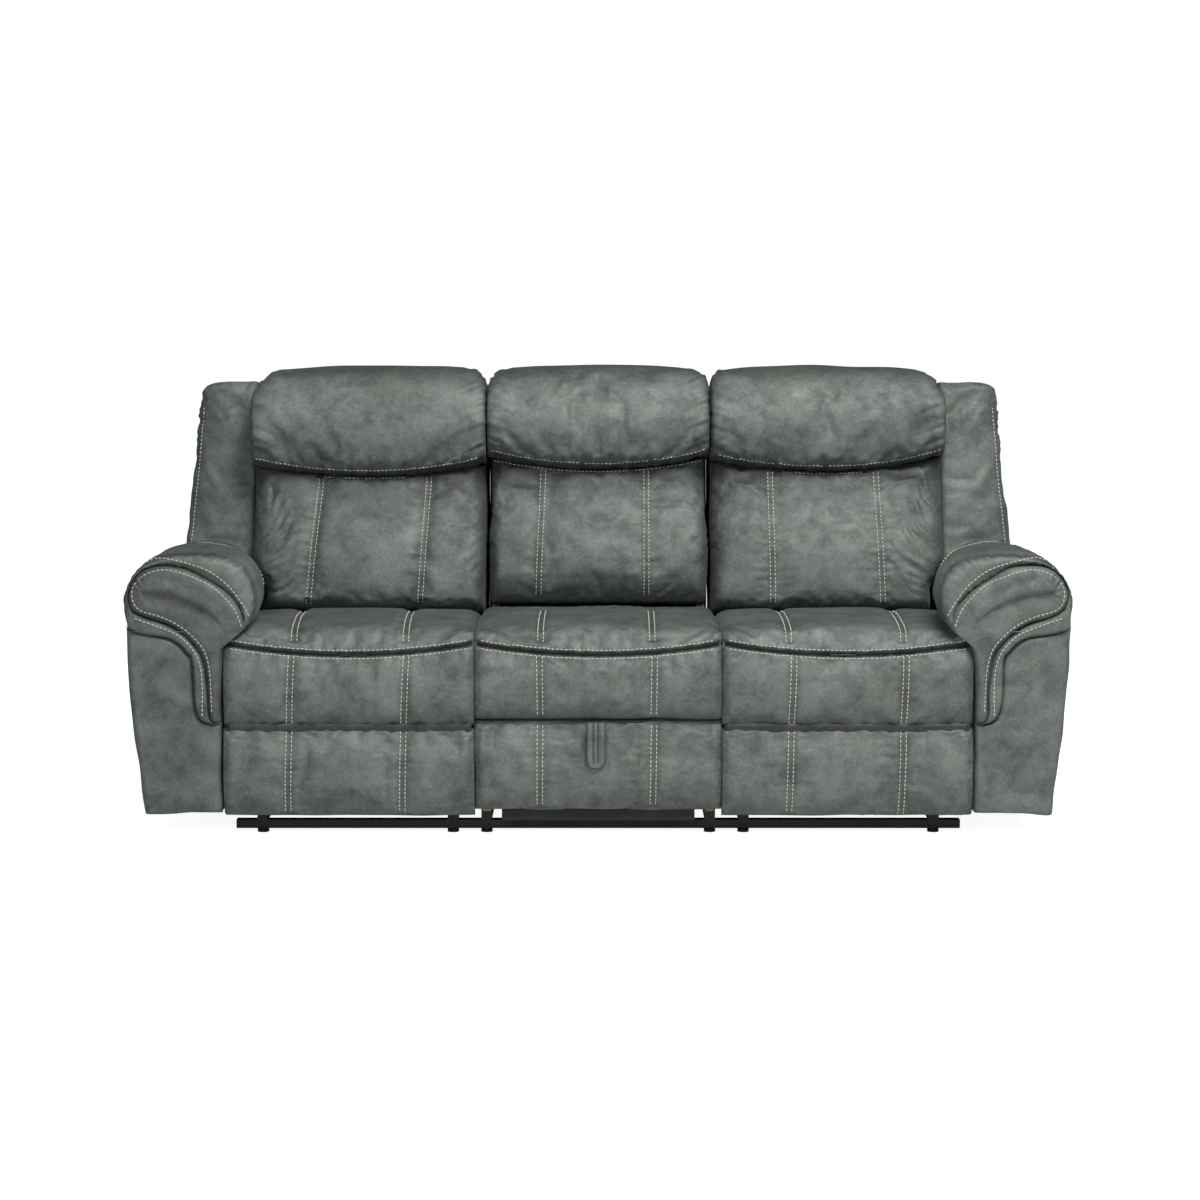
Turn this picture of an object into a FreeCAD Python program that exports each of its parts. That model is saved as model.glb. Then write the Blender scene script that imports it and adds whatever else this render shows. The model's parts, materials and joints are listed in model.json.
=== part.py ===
import FreeCAD
import Part
import math
import os

# Three-seat reclining sofa, millimetres. X runs across the sofa, the front
# faces -Y and Z is up. The origin is on the floor under the middle of the
# bounding box. Both end seats recline; the fixed middle seat has a storage
# drawer below and a fold-down table in its back. Each end unit is drawn on
# the +X side and mirrored for the other one.

V = FreeCAD.Vector

# Overall places
HALF_DEPTH = 490.0
FRONT_Y = -HALF_DEPTH
SEAT_SPLIT_X = 286.0
BACK_SPLIT_X = 279.0
UNIT_GAP = 3.0
SOFT_CLEARANCE = 0.3

# Base frame
FOOT_HEIGHT = 8.0
FOOT_RADIUS = 13.5
STEM_RADIUS = 5.0
STEM_HEIGHT = 2.0
RAIL_SIZE = 20.0
RAIL_WALL = 1.5
RAIL_HALF_LENGTH = 850.0
SEAT_OUT_X = RAIL_HALF_LENGTH - 4.0
FOOTREST_OUT_X = RAIL_HALF_LENGTH + 10.0
RAIL_DEPTH = 30.0
FRONT_RAIL_Y = FRONT_Y + 128.0
REAR_RAIL_Y = HALF_DEPTH - 145.0
SIDE_RAIL_WIDTH = 25.0
SIDE_RAIL_HEIGHT = 25.0
INNER_RUNNER_X = SEAT_SPLIT_X + 55.0
OUTER_RUNNER_X = RAIL_HALF_LENGTH - 62.0
MIDDLE_RUNNER_X = SEAT_SPLIT_X - 24.0
SKIRT_THICKNESS = 12.0
SKIRT_TOP_Z = 265.0
SKIRT_HALF_WIDTH = RAIL_HALF_LENGTH - 1.0
ARM_MOUNT_Y = FRONT_RAIL_Y + 212.0
ARM_MOUNT_TOP_Z = 150.0

# Arms
ARM_BOTTOM_Z = 62.0
ARM_INNER_X = RAIL_HALF_LENGTH + 20.0
ARM_OUTER_TOP_X = ARM_INNER_X + 216.0
ARM_OUTER_BOTTOM_X = ARM_INNER_X + 176.0
ARM_KNEE_X = ARM_INNER_X + 208.0
ARM_KNEE_Z = 300.0
ARM_BOX_TOP_Z = 485.0
ARM_REAR_Y = HALF_DEPTH - 325.0
ARM_STEP_Z = 260.0
ARM_STEP_REAR_Y = REAR_RAIL_Y + SKIRT_THICKNESS / 2
ARM_BOARD = 15.0
ARM_INNER_PAD = 8.0
ARM_FRONT_PAD = 24.0
ARM_REAR_PAD = 20.0
ARM_PAD_OUTER_X = ARM_INNER_X + 219.0
ARM_PAD_INNER_X = ARM_INNER_X - 60.0
ARM_PAD_TOP_Z = 663.0
ARM_PAD_TAPER = 28.0
ARM_PAD_WIDEST_Z = 560.0
ARM_PAD_BOTTOM_Z = ARM_BOX_TOP_Z + SOFT_CLEARANCE
ARM_PAD_REAR_Y = HALF_DEPTH - 302.0

# Release lever in the outer side of each arm
BEZEL_LENGTH = 130.0
BEZEL_HEIGHT = 66.0
BEZEL_PROUD = 3.0
BEZEL_RIM = 9.0
BEZEL_WALL = 3.0
RECESS_DEPTH = 26.0
LEVER_Y = -110.0
LEVER_Z = 372.0
LEVER_LENGTH = 84.0
LEVER_HEIGHT = 34.0
LEVER_THICKNESS = 5.0
LEVER_PIN_RADIUS = 2.5

# Seats
BOARD = 20.0
SEAT_BOARD_TOP_Z = 345.0
SEAT_BOARD_BOTTOM_Z = 270.0
SEAT_REAR_Y = HALF_DEPTH - 340.0
WEBBING = 3.0
WEBBING_WIDTH = 50.0
SEAT_FRONT_BOARD_Y = FRONT_Y + 66.0
SEAT_FRONT_BOARD_TOP_Z = 428.0
CHANNEL_Z = 427.0
SEAT_CROWN_Z = 492.0
SEAT_LIP_TOP_Z = 484.0
SEAT_BACK_EDGE_Z = 474.0
SEAT_BACK_EDGE_Y = HALF_DEPTH - 434.0
SEAT_REAR_TOP_Z = 452.0
SIDE_DRAW_IN = 14.0
PLATE = 3.0
PLATE_BOTTOM_Z = 82.0
PLATE_FRONT_Y = FRONT_Y + 90.0
PLATE_REAR_OVERHANG = 32.0
FRONT_SHOE_Y = FRONT_RAIL_Y + 75.0
REAR_SHOE_Y = REAR_RAIL_Y - 175.0
SHOE_HALF_LENGTH = 30.0

# Footrest of an end seat: the upper flap hangs from the channel, the lower
# pad hangs from the flap at the crease
CREASE_Z = 263.0
CREASE_GAP = 7.0
FOOTREST_BOTTOM_Z = 56.0
FOOTREST_PAD_BACK_Y = FRONT_Y + 47.5
FOOTREST_BOARD = 12.0
HINGE_Y = FRONT_Y + 20.0
HINGE_Z = CHANNEL_Z + 2.5
CREASE_HINGE_Y = FRONT_Y + 14.0
KNUCKLE_RADIUS = 3.5
HINGE_PIN_RADIUS = 1.6
LEAF = 2.0
HINGE_WIDTH = 60.0
HINGE_SEGMENT = 20.0
LINK_THICKNESS = 4.0
LINK_GAP = 0.8
LINK_WIDTH = 22.0
LINK_PIN_RADIUS = 4.0
PIVOT_CLEARANCE = 0.1
OPEN_PIVOT_CLEARANCE = 1.0
FLAP_PIVOT_Y = FRONT_Y + 76.0
FLAP_PIVOT_Z = 300.0
LINK_SHIFT_Y = 104.0
LINK_SHIFT_Z = -104.0

# Backs, drawn upright about the recline pivot and then leaned
PIVOT_Y = HALF_DEPTH - 260.0
PIVOT_Z = 300.0
BACK_LEAN_DEG = 12.0
BACK_PIN_RADIUS = 8.0
BACK_BOARD_FRONT = -60.0
BACK_BOARD_REAR = 100.0
BACK_FRAME_TOP = 640.0
BACK_CUSHION_FRONT = -205.0
BACK_CUSHION_BOTTOM = 141.0
BACK_SEAM = 486.0
BACK_TOP = 763.0
PILLOW_FRONT = -238.0
OUTSIDE_BACK = 19.0
OUTSIDE_BACK_BOTTOM = 4.0
OUTSIDE_BACK_TOP = 690.0
LUMBAR_OUT_X = RAIL_HALF_LENGTH - 32.0
BACK_OUT_X = RAIL_HALF_LENGTH + 12.0
WING_INNER_X = BACK_OUT_X + 4.0
WING_OUT_TOP_X = WING_INNER_X + 150.0
WING_OUT_BOTTOM_X = WING_INNER_X + 171.0
WING_TOP = 730.0
WING_BOTTOM = 95.0
WING_FRONT = -72.0

# Fold-down table in the middle back
TABLE_PIVOT_FROM_FRONT = 90.0
TABLE_PIVOT_Z = 578.0
TABLE_SWEEP_RADIUS = 95.0
TABLE_BOARD = 16.0
TABLE_PIN_RADIUS = 6.0
TABLE_HALF_WIDTH = 266.0
TABLE_CLEARANCE = 2.0
TABLE_EAR = 4.0
TABLE_EAR_HALF = 16.0
TABLE_PIN_LENGTH = 18.0
CUP_RADIUS = 43.0
CUP_WALL = 2.0
CUP_DEPTH = 46.0
CUP_FLANGE = 6.0
CUP_X = 120.0
CUP_HEIGHT_UP = 115.0

# Drawer under the middle seat
DRAWER_FRONT_TOP_Z = 275.0
DRAWER_FRONT_BOTTOM_Z = 71.0
DRAWER_BOX_BOTTOM_Z = 42.0
DRAWER_BOX_TOP_Z = 240.0
MIDDLE_BOARD_INNER_X = SEAT_SPLIT_X - 36.0
RUNNER_ROOM = 26.0
DRAWER_HALF_WIDTH = MIDDLE_BOARD_INNER_X - RUNNER_ROOM
DRAWER_LENGTH = HALF_DEPTH - 50.0
DRAWER_WALL = 10.0
DRAWER_FRONT_BACK_Y = FRONT_Y + 38.0
RUNNER_HEIGHT = 35.0
RUNNER_THICKNESS = 11.0
RUNNER_Z = 150.0
APRON_BOTTOM_Z = 279.0
TAB_X = -6.0
TAB_WIDTH = 43.0
TAB_TOP_Z = 276.5
TAB_BOTTOM_Z = 169.0
TAB_THICKNESS = 3.5

NODES = {}


def block(x0, x1, y0, y1, z0, z1):
    """A box between two opposite corners, given in any order."""
    low = V(min(x0, x1), min(y0, y1), min(z0, z1))
    return Part.makeBox(abs(x1 - x0), abs(y1 - y0), abs(z1 - z0), low)


def rod(x0, x1, y, z, radius):
    """A round bar along X."""
    return Part.makeCylinder(radius, x1 - x0, V(x0, y, z), V(1, 0, 0))


def wire_at_x(x, steps):
    """A closed outline in the plane x. Each step is a point, or an arc's middle and end."""
    edges = []
    start = V(x, *steps[0])
    first = start
    for step in steps[1:]:
        if len(step) == 2:
            end = V(x, *step)
            edges.append(Part.makeLine(start, end))
        else:
            end = V(x, step[2], step[3])
            edges.append(Part.Arc(start, V(x, step[0], step[1]), end).toShape())
        start = end
    if (start - first).Length > 1e-6:
        edges.append(Part.makeLine(start, first))
    return Part.Wire(edges)


def prism(x0, x1, steps):
    """An outline in YZ run along X."""
    return Part.Face(wire_at_x(x0, steps)).extrude(V(x1 - x0, 0, 0))


def ellipse_draw(share):
    """How far a soft edge is drawn in, from 1 at the edge to 0 a whole shoulder away."""
    return 1.0 - math.sqrt(1.0 - (1.0 - share) ** 2)


def padded(x0, x1, outline, shoulder=45.0):
    """A pad between two X faces: its outline(draw) is drawn in at both ends along a quarter ellipse."""
    shares = (0.0, 0.08, 0.27, 0.55, 1.0)
    stations = [(x0 + share * shoulder, ellipse_draw(share)) for share in shares]
    stations += [(x1 - share * shoulder, ellipse_draw(share)) for share in reversed(shares)]
    return Part.makeLoft([wire_at_x(x, outline(draw)) for x, draw in stations], True, True)


def lean(shape):
    """Lean a back, drawn upright with the pivot at y=0 z=0, to its rest angle."""
    leaned = shape.copy()
    leaned.rotate(V(0, 0, 0), V(1, 0, 0), -BACK_LEAN_DEG)
    leaned.translate(V(0, PIVOT_Y, PIVOT_Z))
    return leaned


def keep(name, shapes):
    """Store one node as a group of separate solids."""
    solids = []
    for shape in shapes:
        solids.extend(shape.Solids)
    NODES[name] = solids


def keep_pair(name, shapes):
    """Store right_NAME as drawn and left_NAME mirrored across the middle."""
    keep("right_" + name, shapes)
    keep("left_" + name, [shape.mirror(V(0, 0, 0), V(1, 0, 0)) for shape in shapes])


def both_sides(shapes):
    """The shapes and their mirror images across the middle."""
    return list(shapes) + [shape.mirror(V(0, 0, 0), V(1, 0, 0)) for shape in shapes]


# Base: levelling feet, cross rails, side rails, arm mounts and rear skirt
RAIL_BOTTOM_Z = FOOT_HEIGHT + STEM_HEIGHT
RAIL_TOP_Z = RAIL_BOTTOM_Z + RAIL_SIZE
SIDE_RAIL_TOP_Z = RAIL_TOP_Z + SIDE_RAIL_HEIGHT
RUNNER_PLACES = [INNER_RUNNER_X, OUTER_RUNNER_X, MIDDLE_RUNNER_X]


def make_base():
    feet = []
    for x in RUNNER_PLACES:
        for y in (FRONT_RAIL_Y, REAR_RAIL_Y):
            disc = Part.makeCylinder(FOOT_RADIUS, FOOT_HEIGHT, V(x, y, 0))
            stem = Part.makeCylinder(STEM_RADIUS, STEM_HEIGHT, V(x, y, FOOT_HEIGHT))
            feet.append(disc.fuse(stem))
    keep("levelling_feet", both_sides(feet))

    rails = []
    for y in (FRONT_RAIL_Y, REAR_RAIL_Y):
        half = RAIL_DEPTH / 2
        tube = block(-RAIL_HALF_LENGTH, RAIL_HALF_LENGTH, y - half, y + half, RAIL_BOTTOM_Z, RAIL_TOP_Z)
        bore = block(
            -RAIL_HALF_LENGTH,
            RAIL_HALF_LENGTH,
            y - half + RAIL_WALL,
            y + half - RAIL_WALL,
            RAIL_BOTTOM_Z + RAIL_WALL,
            RAIL_TOP_Z - RAIL_WALL,
        )
        rails.append(tube.cut(bore))

    half = SIDE_RAIL_WIDTH / 2
    front = FRONT_RAIL_Y - RAIL_DEPTH / 2
    rear = REAR_RAIL_Y + RAIL_DEPTH / 2
    bars = [block(x - half, x + half, front, rear, RAIL_TOP_Z, SIDE_RAIL_TOP_Z) for x in RUNNER_PLACES]
    outer = OUTER_RUNNER_X + half
    half = RAIL_DEPTH / 2
    front = ARM_MOUNT_Y - half
    rear = ARM_MOUNT_Y + half
    bars.append(block(outer, ARM_INNER_X, front, rear, RAIL_TOP_Z, SIDE_RAIL_TOP_Z))
    bars.append(block(RAIL_HALF_LENGTH, ARM_INNER_X, front, rear, SIDE_RAIL_TOP_Z, ARM_MOUNT_TOP_Z))
    front = REAR_RAIL_Y - half
    rear = REAR_RAIL_Y + half
    bars.append(block(RAIL_HALF_LENGTH, ARM_INNER_X, front, rear, RAIL_BOTTOM_Z, ARM_MOUNT_TOP_Z))
    keep("base_rails", rails + both_sides(bars))

    half_skirt = SKIRT_THICKNESS / 2
    skirt = block(
        -SKIRT_HALF_WIDTH,
        SKIRT_HALF_WIDTH,
        REAR_RAIL_Y - half_skirt,
        REAR_RAIL_Y + half_skirt,
        SIDE_RAIL_TOP_Z,
        SKIRT_TOP_Z,
    )
    keep("rear_skirt", [skirt])


# Arms: a board box, its padded covers, the rolled pad on top and the lever
def arm_front_outline(y):
    """The arm's front silhouette below the rolled pad, in the plane y."""
    points = [
        (ARM_INNER_X, ARM_BOTTOM_Z),
        (ARM_OUTER_BOTTOM_X, ARM_BOTTOM_Z),
        (ARM_KNEE_X, ARM_KNEE_Z),
        (ARM_OUTER_TOP_X, ARM_BOX_TOP_Z),
        (ARM_INNER_X, ARM_BOX_TOP_Z),
    ]
    return [V(x, y, z) for x, z in points]


def make_arm():
    inner = ARM_INNER_X + ARM_INNER_PAD
    outer = ARM_OUTER_BOTTOM_X - 4.0
    front = FRONT_Y + ARM_FRONT_PAD
    rear = ARM_REAR_Y - ARM_REAR_PAD
    low = ARM_BOTTOM_Z + 5.0
    top = ARM_BOX_TOP_Z - ARM_BOARD
    step_top = ARM_STEP_Z - ARM_INNER_PAD
    step_rear = ARM_STEP_REAR_Y - ARM_INNER_PAD
    boards = [
        block(inner, inner + ARM_BOARD, front, rear, low, top),
        block(outer - ARM_BOARD, outer, front, rear, low, top),
        block(inner + ARM_BOARD, outer - ARM_BOARD, front, front + ARM_BOARD, low, top),
        block(inner + ARM_BOARD, outer - ARM_BOARD, rear - ARM_BOARD, rear, low, top),
        block(inner, outer, front, rear, top, ARM_BOX_TOP_Z),
        block(inner, inner + ARM_BOARD, rear, step_rear, low, step_top),
        block(outer - ARM_BOARD, outer, rear, step_rear, low, step_top),
        block(inner + ARM_BOARD, outer - ARM_BOARD, step_rear - ARM_BOARD, step_rear, low, step_top),
    ]
    keep("arm_frames", both_sides(boards))

    step = block(0, ARM_PAD_OUTER_X, ARM_REAR_Y, ARM_STEP_REAR_Y, ARM_STEP_Z, ARM_BOX_TOP_Z)
    inner_cover = block(ARM_INNER_X, inner, front, ARM_STEP_REAR_Y, ARM_BOTTOM_Z, ARM_BOX_TOP_Z)
    covers = [
        inner_cover.cut(step),
        block(inner, outer, rear, ARM_REAR_Y, ARM_STEP_Z, ARM_BOX_TOP_Z),
        block(inner, outer, step_rear, ARM_STEP_REAR_Y, ARM_BOTTOM_Z, step_top),
        block(inner, outer, rear, ARM_STEP_REAR_Y, step_top, ARM_STEP_Z),
    ]

    face = Part.Face(Part.makePolygon(arm_front_outline(FRONT_Y) + [V(ARM_INNER_X, FRONT_Y, ARM_BOTTOM_Z)]))
    front_cover = face.extrude(V(0, ARM_FRONT_PAD, 0))
    edges = [edge for edge in front_cover.Edges if edge.BoundBox.YMax < FRONT_Y + 0.1]
    covers.append(front_cover.makeFillet(9.0, edges))

    steps = [
        (outer, ARM_BOTTOM_Z),
        (ARM_OUTER_BOTTOM_X, ARM_BOTTOM_Z),
        (ARM_KNEE_X, ARM_KNEE_Z),
        (ARM_OUTER_TOP_X, ARM_BOX_TOP_Z),
        (outer, ARM_BOX_TOP_Z),
        (outer, ARM_BOTTOM_Z),
    ]
    face = Part.Face(Part.makePolygon([V(px, front, pz) for px, pz in steps]))
    outer_cover = face.extrude(V(0, ARM_STEP_REAR_Y - front, 0)).cut(step)
    rise = (LEVER_Z - ARM_KNEE_Z) / (ARM_BOX_TOP_Z - ARM_KNEE_Z)
    lever_x = ARM_KNEE_X + (ARM_OUTER_TOP_X - ARM_KNEE_X) * rise
    face_x = lever_x + BEZEL_PROUD
    half_l = BEZEL_LENGTH / 2
    half_h = BEZEL_HEIGHT / 2
    pocket = block(
        face_x - RECESS_DEPTH - BEZEL_WALL,
        face_x + BEZEL_PROUD,
        LEVER_Y - half_l + BEZEL_RIM,
        LEVER_Y + half_l - BEZEL_RIM,
        LEVER_Z - half_h + BEZEL_RIM,
        LEVER_Z + half_h - BEZEL_RIM,
    )
    flange = block(
        face_x - 2 * BEZEL_PROUD,
        face_x,
        LEVER_Y - half_l,
        LEVER_Y + half_l,
        LEVER_Z - half_h,
        LEVER_Z + half_h,
    )
    covers.append(outer_cover.cut(pocket).cut(flange))
    keep("arm_covers", both_sides(covers))

    hollow = block(
        face_x - RECESS_DEPTH,
        face_x + BEZEL_PROUD,
        LEVER_Y - half_l + BEZEL_RIM + BEZEL_WALL,
        LEVER_Y + half_l - BEZEL_RIM - BEZEL_WALL,
        LEVER_Z - half_h + BEZEL_RIM + BEZEL_WALL,
        LEVER_Z + half_h - BEZEL_RIM - BEZEL_WALL,
    )
    bowl = pocket.common(block(0, face_x, FRONT_Y, HALF_DEPTH, 0, ARM_BOX_TOP_Z))
    keep("lever_bezels", both_sides([flange.fuse(bowl).cut(hollow)]))

    pivot_x = face_x - LEVER_THICKNESS
    pivot_y = LEVER_Y - LEVER_LENGTH / 2 + LEVER_THICKNESS
    half = LEVER_HEIGHT / 2
    paddle = block(
        pivot_x - LEVER_THICKNESS / 2,
        pivot_x + LEVER_THICKNESS / 2,
        pivot_y,
        pivot_y + LEVER_LENGTH,
        LEVER_Z - half,
        LEVER_Z + half,
    )
    reach = BEZEL_HEIGHT / 2 - BEZEL_RIM - BEZEL_WALL - SOFT_CLEARANCE
    pin = Part.makeCylinder(LEVER_PIN_RADIUS, 2 * reach, V(pivot_x, pivot_y, LEVER_Z - reach))
    lip = block(
        pivot_x - 3 * LEVER_THICKNESS,
        pivot_x - LEVER_THICKNESS / 2,
        pivot_y + LEVER_LENGTH - LEVER_THICKNESS,
        pivot_y + LEVER_LENGTH,
        LEVER_Z - half,
        LEVER_Z + half,
    )
    keep_pair("release_lever", [paddle.fuse(pin).fuse(lip).removeSplitter()])

    def pad_section(y, draw):
        """The rolled pad's cross-section at y: it slims on the seat side towards the back."""
        taper = ARM_PAD_TAPER * (y - FRONT_Y) / (ARM_PAD_REAR_Y - FRONT_Y)
        low_z = ARM_PAD_BOTTOM_Z + 0.25 * draw
        out = ARM_PAD_OUTER_X - draw
        inn = ARM_PAD_INNER_X + draw + taper
        high = ARM_PAD_TOP_Z - draw
        out_foot = V(out - 24.0, y, low_z)
        out_top = V(out - 42.0, y, high - 36.0)
        in_top = V(inn + 52.0, y, high - 22.0)
        in_foot = V(inn + 32.0, y, low_z)
        edges = [
            Part.makeLine(in_foot, out_foot),
            Part.Arc(out_foot, V(out, y, ARM_PAD_WIDEST_Z), out_top).toShape(),
            Part.Arc(out_top, V(0.5 * (out + inn) + 10.0, y, high), in_top).toShape(),
            Part.Arc(in_top, V(inn, y, ARM_PAD_WIDEST_Z + 8.0), in_foot).toShape(),
        ]
        return Part.Wire(edges)

    stations = [
        (FRONT_Y, 26.0),
        (FRONT_Y + 8.0, 12.0),
        (FRONT_Y + 30.0, 3.0),
        (FRONT_Y + 260.0, 0.0),
        (SEAT_BACK_EDGE_Y, 0.0),
        (ARM_PAD_REAR_Y - 60.0, 4.0),
        (ARM_PAD_REAR_Y - 14.0, 12.0),
        (ARM_PAD_REAR_Y, 26.0),
    ]
    keep_pair("arm_pad", [Part.makeLoft([pad_section(y, draw) for y, draw in stations], True, True)])


# End seat: steel side plates on glide shoes, board frame, webbing, cushion
LINK_START_Y = FLAP_PIVOT_Y + LINK_SHIFT_Y
LINK_START_Z = FLAP_PIVOT_Z + LINK_SHIFT_Z
LINK_ROOT_Y = HINGE_Y + LINK_SHIFT_Y
LINK_ROOT_Z = HINGE_Z + LINK_SHIFT_Z
INNER_PLATE_X = INNER_RUNNER_X
OUTER_PLATE_X = OUTER_RUNNER_X


def seat_outline(front_bottom_steps):
    """A function that gives a seat cushion's side outline for a draw-in from 0 to 1."""

    def outline(draw):
        drop = SIDE_DRAW_IN * draw
        inset = 0.8 * SIDE_DRAW_IN * draw
        bottom = SEAT_BOARD_TOP_Z + WEBBING + SOFT_CLEARANCE
        steps = [(SEAT_REAR_Y, bottom)]
        steps += front_bottom_steps(inset)
        steps += [
            (
                FRONT_Y + 12.0 + inset,
                CHANNEL_Z + 50.0 - 0.8 * drop,
                FRONT_Y + 44.0 + inset,
                SEAT_LIP_TOP_Z - drop,
            ),
            (
                0.5 * (FRONT_Y + SEAT_BACK_EDGE_Y),
                SEAT_CROWN_Z - drop,
                SEAT_BACK_EDGE_Y,
                SEAT_BACK_EDGE_Z - 0.8 * drop,
            ),
            (SEAT_REAR_Y, SEAT_REAR_TOP_Z - 0.8 * drop),
        ]
        return steps

    return outline


def recliner_front(inset):
    """The cushion steps up over the front board and ends in a lip above the channel."""
    return [
        (SEAT_FRONT_BOARD_Y + BOARD, SEAT_BOARD_TOP_Z + WEBBING + SOFT_CLEARANCE),
        (SEAT_FRONT_BOARD_Y + BOARD, SEAT_FRONT_BOARD_TOP_Z + LEAF + 3.0),
        (FRONT_Y + 36.0 + inset, CHANNEL_Z + 19.0),
        (FRONT_Y + 16.0 + inset, CHANNEL_Z + 22.0, FRONT_Y + 2.0 + inset, CHANNEL_Z + 36.0),
    ]


def middle_front(inset):
    """The cushion turns over the front board and runs down to the drawer, with a sewn channel."""
    back_y = SEAT_FRONT_BOARD_Y - SOFT_CLEARANCE
    return [
        (SEAT_FRONT_BOARD_Y + BOARD, SEAT_BOARD_TOP_Z + WEBBING + SOFT_CLEARANCE),
        (SEAT_FRONT_BOARD_Y + BOARD, SEAT_FRONT_BOARD_TOP_Z + SOFT_CLEARANCE),
        (back_y, SEAT_FRONT_BOARD_TOP_Z + SOFT_CLEARANCE),
        (back_y, APRON_BOTTOM_Z),
        (FRONT_Y + 14.0 + inset, APRON_BOTTOM_Z),
        (FRONT_Y + 2.5 + inset, APRON_BOTTOM_Z + 74.0, FRONT_Y + 14.0 + inset, CHANNEL_Z),
        (FRONT_Y + 22.0 + inset, CHANNEL_Z + 8.0),
        (FRONT_Y + 9.0 + inset, CHANNEL_Z + 17.0, FRONT_Y + 2.0 + inset, CHANNEL_Z + 36.0),
    ]


def webbing(x0, x1, y0, y1, z):
    """Straps along Y and along X, one layer each, stapled to the boards."""
    straps = []
    count = 5
    pitch = (x1 - x0) / count
    for index in range(count):
        x = x0 + (index + 0.5) * pitch
        straps.append(
            block(x - WEBBING_WIDTH / 2, x + WEBBING_WIDTH / 2, y0, y1, z, z + WEBBING / 2)
        )
    count = 6
    pitch = (y1 - y0 - 2 * BOARD) / count
    for index in range(count):
        y = y0 + BOARD + (index + 0.5) * pitch
        straps.append(
            block(
                x0 - BOARD,
                x1 + BOARD,
                y - WEBBING_WIDTH / 2,
                y + WEBBING_WIDTH / 2,
                z + WEBBING / 2,
                z + WEBBING,
            )
        )
    return straps


def make_end_seat():
    half = PLATE / 2
    steps = [
        (PLATE_FRONT_Y, PLATE_BOTTOM_Z),
        (PIVOT_Y - PLATE_REAR_OVERHANG, PLATE_BOTTOM_Z),
        (PIVOT_Y + PLATE_REAR_OVERHANG, PIVOT_Z - 40.0),
        (PIVOT_Y + PLATE_REAR_OVERHANG, PIVOT_Z + 22.0),
        (PIVOT_Y - 25.0, PIVOT_Z + 30.0),
        (PLATE_FRONT_Y, LINK_ROOT_Z + 17.0),
    ]
    plates = []
    for x in (INNER_PLATE_X, OUTER_PLATE_X):
        plate = prism(x - half, x + half, steps)
        bore = rod(x - 2 * half, x + 2 * half, PIVOT_Y, PIVOT_Z, BACK_PIN_RADIUS + PIVOT_CLEARANCE)
        plates.append(plate.cut(bore))
    stub = LINK_THICKNESS + LINK_GAP
    inner_end = INNER_PLATE_X - half
    outer_end = OUTER_PLATE_X + half
    inner_pin = rod(inner_end - stub, inner_end, LINK_ROOT_Y, LINK_ROOT_Z, LINK_PIN_RADIUS)
    outer_pin = rod(outer_end, outer_end + stub, LINK_ROOT_Y, LINK_ROOT_Z, LINK_PIN_RADIUS)
    shoes = [plates[0].fuse(inner_pin), plates[1].fuse(outer_pin)]
    width = SIDE_RAIL_WIDTH / 2
    for x in (INNER_PLATE_X, OUTER_PLATE_X):
        for y in (FRONT_SHOE_Y, REAR_SHOE_Y):
            shoe = block(
                x - width - 6.0,
                x + width + 6.0,
                y - SHOE_HALF_LENGTH,
                y + SHOE_HALF_LENGTH,
                SIDE_RAIL_TOP_Z - 12.0,
                PLATE_BOTTOM_Z,
            )
            track = block(
                x - width - SOFT_CLEARANCE,
                x + width + SOFT_CLEARANCE,
                y - SHOE_HALF_LENGTH - 10.0,
                y + SHOE_HALF_LENGTH + 10.0,
                SIDE_RAIL_TOP_Z - 20.0,
                SIDE_RAIL_TOP_Z + SOFT_CLEARANCE,
            )
            shoes.append(shoe.cut(track))
    seat_reach = SEAT_FRONT_BOARD_Y + BOARD - HINGE_Y
    for x in hinge_places():
        shoes.append(strap_hinge(x, HINGE_Y, HINGE_Z, True, seat_reach))
    keep_pair("seat_mechanism", shoes)

    inner = INNER_PLATE_X + half
    outer = OUTER_PLATE_X - half
    back = SEAT_FRONT_BOARD_Y + BOARD
    boards = [
        block(inner, inner + BOARD, back, SEAT_REAR_Y, SEAT_BOARD_BOTTOM_Z, SEAT_BOARD_TOP_Z),
        block(outer - BOARD, outer, back, SEAT_REAR_Y, SEAT_BOARD_BOTTOM_Z, SEAT_BOARD_TOP_Z),
        block(inner, outer, SEAT_FRONT_BOARD_Y, back, SEAT_BOARD_BOTTOM_Z, SEAT_FRONT_BOARD_TOP_Z),
        block(
            inner + BOARD,
            outer - BOARD,
            SEAT_REAR_Y - BOARD,
            SEAT_REAR_Y,
            SEAT_BOARD_BOTTOM_Z,
            SEAT_BOARD_TOP_Z,
        ),
    ]
    keep_pair("seat_frame", boards)
    keep_pair("seat_webbing", webbing(inner + BOARD, outer - BOARD, back, SEAT_REAR_Y, SEAT_BOARD_TOP_Z))
    cushion = padded(SEAT_SPLIT_X + UNIT_GAP, SEAT_OUT_X, seat_outline(recliner_front))
    keep_pair("seat_cushion", [cushion])


def hinge_places():
    """Where the three strap hinges of a footrest stand along X."""
    inset = 60.0
    return [INNER_PLATE_X + inset, 0.5 * (INNER_PLATE_X + OUTER_PLATE_X), OUTER_PLATE_X - inset]


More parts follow.
